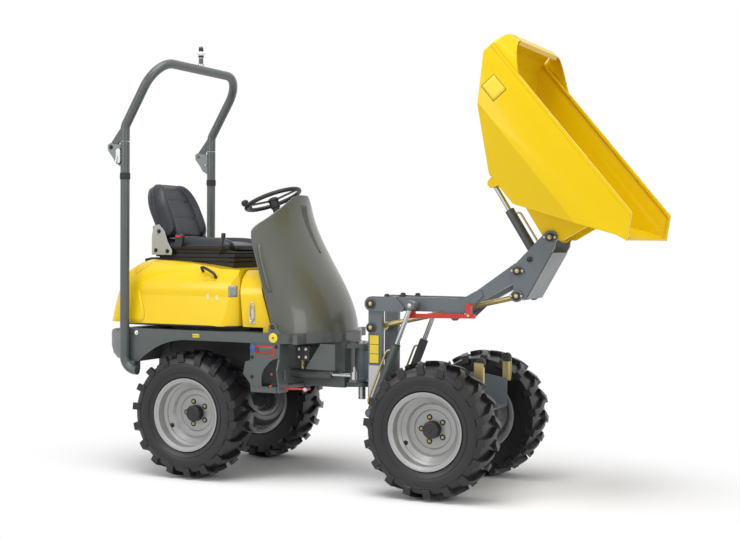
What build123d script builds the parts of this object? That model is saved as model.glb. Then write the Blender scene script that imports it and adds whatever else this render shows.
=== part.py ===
"""One-tonne high-tip site dumper: a centre-pivot machine on four lugged wheels.

Frame: +X forward, +Y to the left, +Z up, millimetres. The origin is on the
ground under the middle of the length. The skip stands half tipped, with its
lift arms half raised, and every piece is modelled where it is at that rest.
"""
import os
from math import cos, radians, sin

from build123d import *

os.makedirs("parts", exist_ok=True)

# ---------------------------------------------------------------- driving sizes
wheelbase = 1530
rear_axle_x = -998
front_axle_x = rear_axle_x + wheelbase
articulation_x = rear_axle_x + 900

tyre_radius = 380
tyre_width = 264
overall_width = 1128
tyre_mid_y = (overall_width - tyre_width) / 2
axle_z = tyre_radius

seat_gap = 0.3          # between pieces that rest on each other on different bodies
pin_play = 0.1          # radial play of a pivot pin in its bush


def side_plane(y=0):
    """Sketch plane seen from the right: local x is forward, local y is up."""
    return Plane(origin=(0, y, 0), x_dir=(1, 0, 0), z_dir=(0, -1, 0))


def save(piece, name):
    piece.part.label = name
    export_step(piece.part, f"parts/{name}.step")


# --------------------------------------------------------------------- wheels
# Wheel pieces are built about local Z, outboard up, then stood on the right side.
rim_flange_radius = 217
bead_radius = 200
rim_well_radius = 182
rim_wall = 8
rim_half_width = 114
disc_face = -17         # hub face, measured outboard from the wheel's mid-plane
hub_bore_radius = 47
lug_count = 18          # on each half of the tread
lug_height = 27
lug_angle = 360 / lug_count

with BuildPart() as rim_blank:
    with BuildSketch(Plane.XZ) as rim_section:
        with BuildLine():
            # columns: radius, distance outboard from the mid-plane
            Polyline(
                (rim_flange_radius, rim_half_width),
                (rim_flange_radius, rim_half_width - 8),
                (bead_radius, rim_half_width - 18),
                (bead_radius - 2, rim_half_width - 64),
                (rim_well_radius, rim_half_width - 76),
                (rim_well_radius, -rim_half_width + 50),
                (bead_radius - 2, -rim_half_width + 38),
                (bead_radius, -rim_half_width + 18),
                (rim_flange_radius, -rim_half_width + 8),
                (rim_flange_radius, -rim_half_width),
                (rim_flange_radius - rim_wall, -rim_half_width),
                (bead_radius - rim_wall, -rim_half_width + 10),
                (bead_radius - rim_wall - 2, -rim_half_width + 32),
                (rim_well_radius - rim_wall, -rim_half_width + 44),
                (rim_well_radius - rim_wall, rim_half_width - 80),
                (bead_radius - rim_wall - 2, rim_half_width - 68),
                (bead_radius - rim_wall, rim_half_width - 12),
                (rim_flange_radius - rim_wall, rim_half_width),
                close=True,
            )
        make_face()
        with BuildLine():
            # the dished disc, from the well down to the hub face
            Polyline(
                (rim_well_radius - 4, disc_face + 46),
                (150, disc_face + 26),
                (138, disc_face + 10),
                (112, disc_face + 8),
                (104, disc_face),
                (hub_bore_radius - 2, disc_face),
                (hub_bore_radius - 2, disc_face - 8),
                (108, disc_face - 8),
                (116, disc_face),
                (142, disc_face + 2),
                (156, disc_face + 18),
                (rim_well_radius - 4, disc_face + 36),
                close=True,
            )
        make_face()
    revolve(axis=Axis.Z)
    with Locations((0, 0, disc_face - 8)):
        Cylinder(hub_bore_radius, 48, align=(Align.CENTER, Align.CENTER, Align.MIN))

half_tyre = tyre_width / 2
tread_radius = tyre_radius - lug_height
bead_clear = 0.5

with BuildPart() as carcass:
    with BuildSketch(Plane.XZ):
        with BuildLine():
            Polyline(
                (tread_radius - 16, -half_tyre + 16),
                (rim_flange_radius + 8, -rim_half_width + 1),
                (rim_flange_radius + bead_clear, -rim_half_width + 9),
                (bead_radius + bead_clear, -rim_half_width + 18.5),
                (bead_radius + bead_clear, rim_half_width - 18.5),
                (rim_flange_radius + bead_clear, rim_half_width - 9),
                (rim_flange_radius + 8, rim_half_width - 1),
                (tread_radius - 16, half_tyre - 16),
            )
            ThreePointArc(
                (tread_radius - 16, half_tyre - 16),
                (tread_radius, 0),
                (tread_radius - 16, -half_tyre + 16),
            )
        make_face()
        with BuildLine():
            for side in (1, -1):
                Line((rim_flange_radius + 8, side * (rim_half_width - 1)),
                     (tread_radius - 16, side * (half_tyre - 16)))
                ThreePointArc(
                    (rim_flange_radius + 8, side * (rim_half_width - 1)),
                    (292, side * (half_tyre - 2)),
                    (tread_radius - 16, side * (half_tyre - 16)),
                )
        make_face()
    revolve(axis=Axis.Z)

with BuildPart() as lug_envelope:
    with BuildSketch(Plane.XZ):
        with BuildLine():
            Polyline(
                (tyre_radius - 20, half_tyre - 2),
                (tyre_radius - 64, half_tyre),
                (tyre_radius - 90, half_tyre - 22),
                (tyre_radius - 90, -half_tyre + 22),
                (tyre_radius - 64, -half_tyre),
                (tyre_radius - 20, -half_tyre + 2),
            )
            ThreePointArc(
                (tyre_radius - 20, half_tyre - 2),
                (tyre_radius, 0),
                (tyre_radius - 20, -half_tyre + 2),
            )
        make_face()
    revolve(axis=Axis.Z)

# One lug of each half: a bent bar that leans back towards the shoulder.
lug_width = 30
with BuildPart() as lug_pair:
    for side in (1, -1):
        with BuildSketch(Plane(origin=(tyre_radius + 8, 0, 0), x_dir=(0, 1, 0), z_dir=(1, 0, 0))):
            with BuildLine():
                # columns: along the tread, outboard
                shift = 0 if side > 0 else tyre_radius * radians(lug_angle) / 2
                Polyline(
                    (shift + 6, -side * 8),
                    (shift + 6 + lug_width, -side * 8),
                    (shift - 38 + lug_width, side * 70),
                    (shift - 52 + lug_width + 6, side * (half_tyre + 4)),
                    (shift - 52 - 8, side * (half_tyre + 4)),
                    (shift - 38, side * 66),
                    close=True,
                )
            make_face()
        extrude(amount=-(lug_height + 62))
    add(lug_envelope.part, mode=Mode.INTERSECT)

with BuildPart() as tyre_blank:
    add(carcass.part)
    with PolarLocations(0, lug_count):
        add(lug_pair.part)

rear_right = Plane(origin=(rear_axle_x, -tyre_mid_y, axle_z), x_dir=(1, 0, 0), z_dir=(0, -1, 0))
front_right = Plane(origin=(front_axle_x, -tyre_mid_y, axle_z), x_dir=(1, 0, 0), z_dir=(0, -1, 0))
for end, place in (("rear", rear_right), ("front", front_right)):
    for blank, kind in ((tyre_blank, "tyre"), (rim_blank, "rim")):
        with BuildPart() as right_piece:
            add(blank.part.moved(place.location))
        with BuildPart() as left_piece:
            mirror(right_piece.part, about=Plane.XZ)
        save(right_piece, f"{end}_right_{kind}")
        save(left_piece, f"{end}_left_{kind}")

# ---------------------------------------------------------------------- axles
axle_tube_radius = 45
axle_flange_radius = 85
wheel_inner_face = tyre_mid_y + disc_face - 8     # back of the disc, from the middle
axle_box = (190, 150, 130)                         # the gear housing in the middle

for end, x in (("rear", rear_axle_x), ("front", front_axle_x)):
    with BuildPart() as axle:
        with BuildSketch(Plane.XZ):
            with Locations((x, axle_z)):
                Circle(axle_tube_radius)
        extrude(amount=wheel_inner_face - 20, both=True)
        for side in (1, -1):
            flange_face = Plane(origin=(x, side * (wheel_inner_face - seat_gap), axle_z),
                                x_dir=(1, 0, 0), z_dir=(0, -side, 0))
            with BuildSketch(flange_face):
                Circle(axle_flange_radius)
            extrude(amount=18)
            with BuildSketch(flange_face.offset(18)):
                Circle(axle_flange_radius - 8)
            extrude(amount=60, taper=14)
        with BuildSketch(Plane.XZ):
            with Locations((x, axle_z)):
                RectangleRounded(axle_box[0], axle_box[2], 24)
        extrude(amount=axle_box[1] / 2, both=True)
    save(axle, f"{end}_axle")

# ------------------------------------------------------------- rear chassis
rail_top = 876
rail_bottom = 818
rail_outer_y = 466
rail_wall = 12
platform_rear_x = rear_axle_x - 470
platform_side_x = rear_axle_x + 565
platform_front_x = rear_axle_x + 838
floor_thickness = 5

beam_y = 110             # middle of each lower longitudinal
beam_thickness = 16
beam_top = rail_bottom
beam_bottom = 545

engine_low = 650
articulation_radius = 22
fork_top = 790
fork_plate = 26
fork_low = 560
fork_half_width = 62


def platform_outline(inset=0):
    """Plan of the platform: straight sides and a bowed front."""
    half = rail_outer_y - inset
    with BuildLine(mode=Mode.PRIVATE) as outline:
        Polyline((platform_side_x, half), (platform_rear_x + inset, half),
                 (platform_rear_x + inset, -half), (platform_side_x, -half))
        ThreePointArc((platform_side_x, -half), (platform_front_x - inset, 0),
                      (platform_side_x, half))
    return outline.edges()


with BuildPart() as rear_chassis:
    # the ring of flat bar round the platform
    with BuildSketch(Plane.XY.offset(rail_bottom)):
        make_face(platform_outline())
        make_face(platform_outline(rail_wall), mode=Mode.SUBTRACT)
    extrude(amount=rail_top - rail_bottom)
    # wheel-arch plates behind the ring, both sides
    for side in (1, -1):
        with BuildSketch(side_plane(side * (rail_outer_y - rail_wall / 2))):
            with BuildLine():
                arch_front = (rear_axle_x - 60, rail_bottom)
                arch_rear = (rear_axle_x - 405, 665)
                Line(arch_front, (platform_rear_x, rail_bottom))
                Line((platform_rear_x, rail_bottom), (platform_rear_x, 640))
                Line((platform_rear_x, 640), (rear_axle_x - 395, 640))
                Line((rear_axle_x - 395, 640), arch_rear)
                ThreePointArc(arch_rear, (rear_axle_x - 250, 772), arch_front)
            make_face()
        extrude(amount=rail_wall / 2, both=True)
        # inner plates between the rail level and the lower beams
        with BuildSketch(side_plane(side * beam_y)):
            with BuildLine():
                Polyline(
                    (platform_rear_x + 2, beam_top),
                    (platform_rear_x + 2, 600),
                    (rear_axle_x - 160, axle_z + 70),
                    (rear_axle_x + 160, axle_z + 70),
                    (rear_axle_x + 240, beam_bottom),
                    (articulation_x - 60, beam_bottom),
                    (articulation_x - 60, beam_top),
                    (rear_axle_x + 240, beam_top),
                    (rear_axle_x + 240, engine_low),
                    (rear_axle_x - 360, engine_low),
                    (rear_axle_x - 400, beam_top),
                    close=True,
                )
            make_face()
        extrude(amount=beam_thickness / 2, both=True)
        # lifting eyes standing on the rail
        with BuildSketch(side_plane(side * (rail_outer_y - rail_wall / 2))):
            with BuildLine():
                eye = (rear_axle_x + 545, rail_top + 38)
                Polyline((eye[0] - 34, rail_top - 4), (eye[0] - 24, eye[1]), (eye[0] + 24, eye[1]),
                         (eye[0] + 60, rail_top - 4), close=True)
            make_face()
            with Locations(eye):
                Circle(27)
                Circle(15, mode=Mode.SUBTRACT)
        extrude(amount=rail_wall / 2, both=True)
    # cross plates
    under_floor = rail_top - floor_thickness
    for x, low in ((platform_rear_x + 40, 620), (rear_axle_x + 250, beam_bottom), (articulation_x - 68,
                                                                                   beam_bottom)):
        with Locations((x, 0, (low + under_floor) / 2)):
            Box(16, 2 * (beam_y - beam_thickness / 2), under_floor - low)
    for x in (platform_rear_x + 40, rear_axle_x + 250, articulation_x - 210):
        for side in (1, -1):
            with Locations((x, side * (beam_y + rail_outer_y - 2) / 2, (rail_bottom + under_floor) / 2)):
                Box(30, rail_outer_y - 2 - beam_y, under_floor - rail_bottom)
    # axle saddle
    with Locations((rear_axle_x, 0, axle_z + axle_box[2] / 2 + 11)):
        Box(150, 2 * beam_y, 22)
    # articulation forks
    for z in (fork_top, fork_low):
        with BuildSketch(Plane.XY.offset(z - fork_plate / 2)):
            with BuildLine():
                Polyline((articulation_x - 90, beam_y), (articulation_x - 90, -beam_y),
                         (articulation_x, -fork_half_width))
                ThreePointArc((articulation_x, -fork_half_width), (articulation_x + fork_half_width, 0),
                              (articulation_x, fork_half_width))
                Line((articulation_x, fork_half_width), (articulation_x - 90, beam_y))
            make_face()
            with Locations((articulation_x, 0)):
                Circle(articulation_radius, mode=Mode.SUBTRACT)
        extrude(amount=fork_plate)
save(rear_chassis, "rear_chassis")

with BuildPart() as articulation_pin:
    with BuildSketch(Plane.XY.offset(470)):
        with Locations((articulation_x, 0)):
            Circle(articulation_radius)
    extrude(amount=fork_top + 30 - 470)
    with BuildSketch(Plane.XY.offset(fork_top + fork_plate / 2)):
        with Locations((articulation_x, 0)):
            Circle(38)
    extrude(amount=14)
save(articulation_pin, "articulation_pin")

with BuildPart() as floor_plate:
    with BuildSketch(Plane.XY.offset(rail_top - floor_thickness)):
        make_face(platform_outline(rail_wall))
        with Locations((rear_axle_x - 160, 0)):
            Rectangle(920, 700, mode=Mode.SUBTRACT)
    extrude(amount=floor_thickness)
save(floor_plate, "floor_plate")

hood_hinge = (rear_axle_x - 592, 886)
hinge_y = 300
hinge_ear = 10
hinge_pin_radius = 6
with BuildPart() as counterweight:
    with BuildSketch(Plane.XY.offset(678)):
        with BuildLine():
            Polyline((platform_rear_x, 430), (rear_axle_x - 540, 430))
            ThreePointArc((rear_axle_x - 540, 430), (rear_axle_x - 638, 0), (rear_axle_x - 540, -430))
            Polyline((rear_axle_x - 540, -430), (platform_rear_x, -430), (platform_rear_x, 430))
        make_face()
    extrude(amount=185)
    for side in (1, -1):
        # ear and pin of the hood's hinge
        with BuildSketch(side_plane(side * hinge_y)):
            with BuildLine():
                Polyline((hood_hinge[0] - 20, 860), (hood_hinge[0] - 10, hood_hinge[1]),
                         (hood_hinge[0] + 10, hood_hinge[1]), (hood_hinge[0] + 34, 860), close=True)
            make_face()
            with Locations(hood_hinge):
                Circle(12)
        extrude(amount=hinge_ear / 2, both=True)
        with BuildSketch(side_plane(side * hinge_y)):
            with Locations(hood_hinge):
                Circle(hinge_pin_radius)
        extrude(amount=hinge_ear * 1.5 + 2, both=True)
save(counterweight, "counterweight")

with BuildPart() as engine:
    with Locations((rear_axle_x - 60, 0, engine_low)):
        Box(560, 340, 420, align=(Align.CENTER, Align.CENTER, Align.MIN))
save(engine, "engine")

# ---------------------------------------------------------------------- steps
step_front_x = rear_axle_x + 580
step_low = 532
tread = 8
with BuildPart() as steps:
    for side in (1, -1):
        with BuildSketch(side_plane(side * (rail_outer_y - 10))):
            with BuildLine():
                Polyline((rear_axle_x + 392, rail_bottom - seat_gap),
                         (step_front_x, rail_bottom - seat_gap),
                         (step_front_x, step_low), (rear_axle_x + 398, step_low), (rear_axle_x + 392, 580),
                         (rear_axle_x + 346, 636), (rear_axle_x + 358, 706), (rear_axle_x + 392,
                                                                              716), close=True)
            make_face()
            # arched opening for the boot
            with BuildLine():
                Line((step_front_x + 2, 736), (step_front_x + 2, step_low + 34))
                Line((step_front_x + 2, step_low + 34), (rear_axle_x + 470, step_low + 34))
                ThreePointArc((rear_axle_x + 470, step_low + 34), (rear_axle_x + 500, 690),
                              (step_front_x + 2, 736))
            make_face(mode=Mode.SUBTRACT)
        extrude(amount=4, both=True)
        # tread with a toothed edge
        with BuildSketch(Plane.XY.offset(step_low)):
            with Locations((rear_axle_x + 489, side * (rail_outer_y - 60))):
                Rectangle(182, 108)
        extrude(amount=tread)
        with BuildSketch(side_plane(side * (rail_outer_y - 4))):
            with BuildLine():
                teeth = [(rear_axle_x + 402 + 15 * n, step_low + (34 if n % 2 else 24)) for n in range(12)]
                Polyline((rear_axle_x + 402, step_low), *teeth, (rear_axle_x + 402 + 15 * 11, step_low),
                         close=True)
            make_face()
        extrude(amount=3, both=True)
        # front plate, bowed outwards below its waist
        with BuildSketch(Plane.YZ.offset(step_front_x)):
            with BuildLine():
                inner = side * (rail_outer_y - 112)
                Polyline((inner, rail_bottom - seat_gap), (side * (rail_outer_y - 6),
                                                           rail_bottom - seat_gap),
                         (side * (rail_outer_y - 2), 727), (side * (rail_outer_y + 22), 666),
                         (side * (rail_outer_y - 6), step_low), (inner, step_low), close=True)
            make_face()
            with Locations((side * (rail_outer_y - 62), 636)):
                SlotOverall(80, 34, rotation=90, mode=Mode.SUBTRACT)
        extrude(amount=8)
        # bracket from the chassis plate
        with Locations((step_front_x - 40, side * (beam_y + beam_thickness / 2 + seat_gap),
                        step_low + tread)):
            Box(60, rail_outer_y - 60 - beam_y, 24,
                align=(Align.CENTER, Align.MIN if side > 0 else Align.MAX, Align.MIN))
save(steps, "steps")

# ----------------------------------------------------------------------- hood
hood_bottom = 905
hood_half_width = 445
cover_half_width = 400
hood_wall = 5
hood_top = 1291
hood_rear_x = rear_axle_x - 600
hood_split_x = rear_axle_x + 300
hood_front_x = rear_axle_x + 498


def hood_solid(inset=0):
    """The bonnet's full block: its side, front and plan outlines together, drawn in by the wall."""
    half = hood_half_width - inset
    top = hood_top - inset
    with BuildPart(mode=Mode.PRIVATE) as block:
        with BuildSketch(side_plane()):
            with BuildLine():
                Line((hood_rear_x + inset, hood_bottom - 1), (rear_axle_x - 545 + inset, 1110))
                ThreePointArc((rear_axle_x - 545 + inset, 1110), (rear_axle_x - 490 + inset, 1240 - inset),
                              (rear_axle_x - 400, top))
                ThreePointArc((rear_axle_x - 400, top), (rear_axle_x - 130, top - 14),
                              (rear_axle_x + 140, top - 48))
                Polyline((rear_axle_x + 140, top - 48), (rear_axle_x + 268 - inset, top - 51),
                         (hood_split_x - inset, hood_bottom - 1), (hood_rear_x + inset, hood_bottom - 1))
            make_face()
        extrude(amount=half, both=True)
        with BuildSketch(Plane.YZ.offset(hood_rear_x - 10)):
            with BuildLine():
                Polyline((-half + 20, 1080), (-half, hood_bottom - 2), (half, hood_bottom - 2),
                         (half - 20, 1080))
                ThreePointArc((half - 20, 1080), (half - 80, top - 46), (half - 220, top + 2))
                Line((half - 220, top + 2), (-half + 220, top + 2))
                ThreePointArc((-half + 220, top + 2), (-half + 80, top - 46), (-half + 20, 1080))
            make_face()
        extrude(amount=1100, mode=Mode.INTERSECT)
        with BuildSketch(Plane.XY.offset(hood_bottom - 2)):
            front = hood_split_x - inset
            rear = hood_rear_x + inset
            with BuildLine():
                ThreePointArc((front, half - 130), (front - 42, half - 42), (front - 150, half))
                Line((front - 150, half), (rear + 150, half))
                ThreePointArc((rear + 150, half), (rear + 52, half - 40), (rear, half - 150))
                Line((rear, half - 150), (rear, -half + 150))
                ThreePointArc((rear, -half + 150), (rear + 52, -half + 40), (rear + 150, -half))
                Line((rear + 150, -half), (front - 150, -half))
                ThreePointArc((front - 150, -half), (front - 42, -half + 42), (front, -half + 130))
                Line((front, -half + 130), (front, half - 130))
            make_face()
        extrude(amount=500, mode=Mode.INTERSECT)
    return block.part


hood_outer = hood_solid()
hood_inner = hood_solid(hood_wall)
with BuildPart() as hood:
    add(hood_outer)
    add(hood_inner, mode=Mode.SUBTRACT)
    with Locations((rear_axle_x, 0, hood_bottom - 50)):
        Box(2000, 2000, 100, mode=Mode.SUBTRACT)
    for side in (1, -1):
        # tab on the hinge pin, inboard of the counterweight's ear
        with BuildSketch(side_plane(side * (hinge_y - hinge_ear - seat_gap))):
            with BuildLine():
                Polyline((hood_hinge[0] - 5, hood_hinge[1]), (hood_rear_x + 3, hood_bottom),
                         (hood_rear_x + 17, 960), (hood_rear_x + 42, 960),
                         (hood_hinge[0] + 14, hood_hinge[1]), close=True)
            make_face()
            with Locations(hood_hinge):
                Circle(14)
                Circle(hinge_pin_radius + pin_play, mode=Mode.SUBTRACT)
        extrude(amount=hinge_ear / 2, both=True)
save(hood, "hood")


def cover_solid(inset=0):
    """The block of the yellow cover ahead of the hood, open towards the engine."""
    half = cover_half_width - inset
    with BuildPart(mode=Mode.PRIVATE) as block:
        with BuildSketch(side_plane()):
            with BuildLine():
                Polyline((hood_split_x + 8 - 2 * inset, hood_bottom - inset),
                         (rear_axle_x + 277 - 2 * inset, 1236 - inset),
                         (rear_axle_x + 396 - inset, 1240 - inset), (hood_front_x - inset,
                                                                     hood_bottom - inset),
                         close=True)
            make_face()
        extrude(amount=half, both=True)
        with BuildSketch(Plane.YZ.offset(rear_axle_x + 200)):
            with BuildLine():
                Polyline((-half, 1080), (-half, hood_bottom - 12), (half, hood_bottom - 12), (half, 1080))
                ThreePointArc((half, 1080), (half - 48, 1196 - inset), (half - 170, 1242 - inset))
                Line((half - 170, 1242 - inset), (-half + 170, 1242 - inset))
                ThreePointArc((-half + 170, 1242 - inset), (-half + 48, 1196 - inset), (-half, 1080))
            make_face()
        extrude(amount=400, mode=Mode.INTERSECT)
    return block.part


with BuildPart() as front_cover:
    add(cover_solid())
    add(cover_solid(hood_wall), mode=Mode.SUBTRACT)
    # feet on the platform
    for side in (1, -1):
        with Locations((hood_front_x - 30, side * (cover_half_width - 20),
                        (rail_top + hood_bottom) / 2 + 2)):
            Box(50, 36, hood_bottom - rail_top + 4)
save(front_cover, "front_cover")

# ----------------------------------------------------------------------- seat
seat_x = rear_axle_x - 150
seat_back_half_width = 225
with BuildPart() as seat_base:
    # ribbed bellows: columns are height and how far each fold stands in from the pan
    with BuildSketch(side_plane()):
        with BuildLine():
            Polyline((rear_axle_x - 430, 1356), (rear_axle_x + 96, 1356), (rear_axle_x + 132, 1330),
                     (rear_axle_x + 120, 1240), (rear_axle_x - 520, 1240), (rear_axle_x - 520, 1296),
                     (rear_axle_x - 440, 1312), close=True)
        make_face()
    extrude(amount=200, both=True)
    for z in (1282, 1308, 1334):
        with Locations((rear_axle_x - 160, 0, z)):
            Box(700, 401, 6, mode=Mode.SUBTRACT)
    with Locations((rear_axle_x - 170, 0, 1298)):
        Box(500, 376, 116)
    add(hood_outer.moved(Location((0, 0, seat_gap))), mode=Mode.SUBTRACT)
    for side in (1, -1):
        with BuildSketch(side_plane(side * (seat_back_half_width + seat_gap + 4))):
            with BuildLine():
                Polyline((rear_axle_x - 440, 1325), (rear_axle_x - 330, 1325), (rear_axle_x - 330, 1400),
                         (rear_axle_x - 380, 1500), (rear_axle_x - 440, 1500), close=True)
            make_face()
        extrude(amount=4, both=True)
        with Locations((rear_axle_x - 385, side * 212, 1340)):
            Box(100, 40, 20)
save(seat_base, "seat_base")

with BuildPart() as seat_cushion:
    with BuildSketch(Plane.XY.offset(1358 + seat_gap)):
        with Locations((seat_x, 0)):
            RectangleRounded(500, 450, 80)
    extrude(amount=60)
save(seat_cushion, "seat_cushion")

with BuildPart() as seat_back:
    with BuildSketch(side_plane()):
        with BuildLine():
            Polyline((rear_axle_x - 400, 1425), (rear_axle_x - 300, 1425), (rear_axle_x - 450, 1745),
                     (rear_axle_x - 530, 1760), (rear_axle_x - 600, 1700), close=True)
        make_face()
    extrude(amount=seat_back_half_width, both=True)
save(seat_back, "seat_back")

# ---------------------------------------------------------------- cowl, column
cowl_wall = 8
# columns: height, rear edge x, half width, front x
cowl_sections = (
    (rail_top + seat_gap, 543, 440, 822),
    (1166, 448, 420, 720),
    (1390, 373, 400, 586),
    (1700, 262, 360, 498),
)


def cowl_loft(inset, rear_extra):
    with BuildPart(mode=Mode.PRIVATE) as block:
        for z, rear, half, front in cowl_sections:
            with BuildSketch(Plane.XY.offset(z)):
                with BuildLine():
                    x0 = rear_axle_x + rear - rear_extra
                    h = half - inset
                    Line((x0, h), (x0, -h))
                    ThreePointArc((x0, -h), (rear_axle_x + front - inset, 0), (x0, h))
                make_face()
        loft()
    return block.part


cowl_outer = cowl_loft(0, 0)
cowl_inner = cowl_loft(cowl_wall, 14)
with BuildPart() as control_cowl:
    add(cowl_outer)
    add(cowl_inner, mode=Mode.SUBTRACT)
    # shield-shaped top edge
    with BuildSketch(Plane.YZ.offset(rear_axle_x)):
        with BuildLine():
            Polyline((-600, 1400), (-600, 1900), (600, 1900), (600, 1400), (402, 1400))
            ThreePointArc((402, 1400), (384, 1456), (338, 1508))
            Polyline((338, 1508), (90, 1678), (60, 1692), (-60, 1692), (-90, 1678), (-338, 1508))
            ThreePointArc((-338, 1508), (-384, 1456), (-402, 1400))
            Line((-402, 1400), (-600, 1400))
        make_face()
    extrude(amount=1200, mode=Mode.SUBTRACT)
save(control_cowl, "control_cowl")

wheel_centre = (rear_axle_x + 284, 1668)
wheel_tilt = 22
steering_ring_radius = 172
steering_tube_radius = 13
column_direction = (-sin(radians(wheel_tilt)), 0, cos(radians(wheel_tilt)))
hub_plane = Plane(origin=(wheel_centre[0], 0, wheel_centre[1]), x_dir=(cos(radians(wheel_tilt)), 0,
                                                                       sin(radians(wheel_tilt))),
                  z_dir=column_direction)
with BuildPart(hub_plane) as steering_wheel:
    Torus(steering_ring_radius, steering_tube_radius)
    with Locations((0, 0, -32)):
        Cylinder(30, 46)
    with PolarLocations(0, 3):
        with Locations((steering_ring_radius / 2, 0, -8)):
            Box(steering_ring_radius - 4, 24, 8)
    with Locations((-steering_ring_radius, 0, 28)):
        Cylinder(17, 40)
save(steering_wheel, "steering_wheel")

with BuildPart() as steering_column:
    column_top = Vector(*hub_plane.from_local_coords((0, 0, -55 - seat_gap)))
    with BuildSketch(Plane(origin=column_top, z_dir=column_top - hub_plane.origin)):
        Circle(24)
    extrude(amount=260)
    with BuildSketch(side_plane()):
        with BuildLine():
            Polyline((rear_axle_x + 520, rail_top), (rear_axle_x + 640, rail_top), (rear_axle_x + 500,
                                                                                    1440),
                     (rear_axle_x + 400, 1440), close=True)
        make_face()
    extrude(amount=80, both=True)
save(steering_column, "steering_column")

# ----------------------------------------------------------------------- rops
rops_radius = 28
rops_y = 495
rops_x = rear_axle_x - 466
fold_pin = (rear_axle_x - 556, 1976)
fold_pin_radius = 9
hinge_plate = 7        # half thickness of the hoop's plate between the post's cheeks
hoop_foot_z = 2012
with BuildPart() as rops_posts:
    for side in (1, -1):
        with BuildLine() as post_path:
            FilletPolyline((rops_x, side * rops_y, hoop_foot_z - 4), (rops_x, side * rops_y, 625),
                           (rear_axle_x - 372, side * rops_y, 625), radius=84)
        with BuildSketch(Plane(origin=(rops_x, side * rops_y, hoop_foot_z - 4), z_dir=(0, 0, -1))):
            Circle(rops_radius)
        sweep(path=post_path.wires()[0])
        # the clamp that bolts the tube to the arch plate
        with Locations((rear_axle_x - 400, side * (rail_outer_y + seat_gap), 655)):
            Box(60, 30, 50, align=(Align.CENTER, Align.MIN if side > 0 else Align.MAX, Align.CENTER))
        # hinge cheeks behind the post, with the fold pin between them
        with BuildSketch(side_plane(side * rops_y)):
            with BuildLine():
                Polyline((rops_x - 10, 1990), (rops_x - 10, 1850), (rops_x - 60, 1880), (fold_pin[0] - 22,
                                                                                         fold_pin[1] - 10),
                         (fold_pin[0], fold_pin[1] + 22), close=True)
            make_face()
            with Locations(fold_pin):
                Circle(24)
        extrude(amount=hinge_plate + 7, both=True)
        with BuildSketch(side_plane(side * rops_y)):
            with Locations((rops_x - 28 - 60, 1930)):
                Rectangle(120, 300)
        extrude(amount=hinge_plate + seat_gap, both=True, mode=Mode.SUBTRACT)
        with BuildSketch(side_plane(side * rops_y)):
            with Locations(fold_pin):
                Circle(fold_pin_radius)
        extrude(amount=hinge_plate + 14, both=True)
save(rops_posts, "rops_posts")

with BuildPart() as rops_hoop:
    with BuildLine() as hoop_path:
        FilletPolyline(
            (rops_x, rops_y, hoop_foot_z),
            (rops_x, rops_y, 2100),
            (rear_axle_x - 240, rops_y, 2488),
            (rear_axle_x - 240, -rops_y, 2488),
            (rops_x, -rops_y, 2100),
            (rops_x, -rops_y, hoop_foot_z),
            radius=(60, 180, 180, 60),
        )
    with BuildSketch(Plane(origin=(rops_x, rops_y, hoop_foot_z), z_dir=(0, 0, 1))):
        Circle(rops_radius)
    sweep(path=hoop_path.wires()[0])
    for side in (1, -1):
        with BuildSketch(side_plane(side * rops_y)):
            with BuildLine():
                Polyline((rops_x + 8, 2120), (rops_x - 6, 2120), (fold_pin[0] - 22, fold_pin[1] + 8),
                         (fold_pin[0], fold_pin[1] - 22), (fold_pin[0] + 20, fold_pin[1] - 12),
                         (rops_x - 36, hoop_foot_z), (rops_x, hoop_foot_z), close=True)
            make_face()
            with Locations(fold_pin):
                Circle(23)
                Circle(fold_pin_radius + pin_play, mode=Mode.SUBTRACT)
        extrude(amount=hinge_plate, both=True)
save(rops_hoop, "rops_hoop")

hoop_top_z = 2488
collar_top = hoop_top_z + rops_radius + 10
spigot_length = 110
with BuildPart() as beacon_spigot:
    for radius, top in ((19, collar_top), (12, collar_top + spigot_length)):
        with BuildSketch(Plane.XY.offset(hoop_top_z)):
            with Locations((rear_axle_x - 240, 0)):
                Circle(radius)
        extrude(amount=top - hoop_top_z)
    with BuildSketch(Plane.XY.offset(hoop_top_z)):
        with Locations((rear_axle_x - 240, 0)):
            Circle(5)
    extrude(amount=200, mode=Mode.SUBTRACT)
    add(rops_hoop.part, mode=Mode.SUBTRACT)
save(beacon_spigot, "beacon_spigot")

# ---------------------------------------------------------------- front frame
mast_inner_y = 100
mast_outer_y = 135
mast_rear_x = rear_axle_x + 1001
mast_front_x = rear_axle_x + 1087
mast_top = 1090
arm_pivot = (rear_axle_x + 1025, mast_top - 40)
link_drop = (-4, -140)                      # from each arm pivot to its tie-rod pivot
tie_pivot = (arm_pivot[0] + link_drop[0], arm_pivot[1] + link_drop[1])
pin_radius = 15

head_pivot = (rear_axle_x + 1922, 1256)     # arm end
head_tie_pivot = (head_pivot[0] + link_drop[0], head_pivot[1] + link_drop[1])
skip_pivot = (rear_axle_x + 2108, 1444)
tip_base = (rear_axle_x + 1992, 1321)
tip_eye = (rear_axle_x + 1722, 1751)

lift_base = (rear_axle_x + 1055, 420)
lift_eye = (rear_axle_x + 1303, 1049)
lift_cylinder_y = 208
tie_y = 75
lift_barrel_radius = 26
rod_eye_half_width = 16

base_thickness = 12
saddle_height = 10
base_top = axle_z + axle_box[2] / 2 + saddle_height + base_thickness
side_plate_y = 190        # inner face of the plates that carry the skip rests
side_plate = 15
frame_front_x = rear_axle_x + 1745
rest = (rear_axle_x + 1733, 741)
rest_radius = 26
rest_y = 222

hub_low = fork_low + fork_plate / 2 + seat_gap
hub_high = fork_top - fork_plate / 2 - seat_gap

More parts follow.
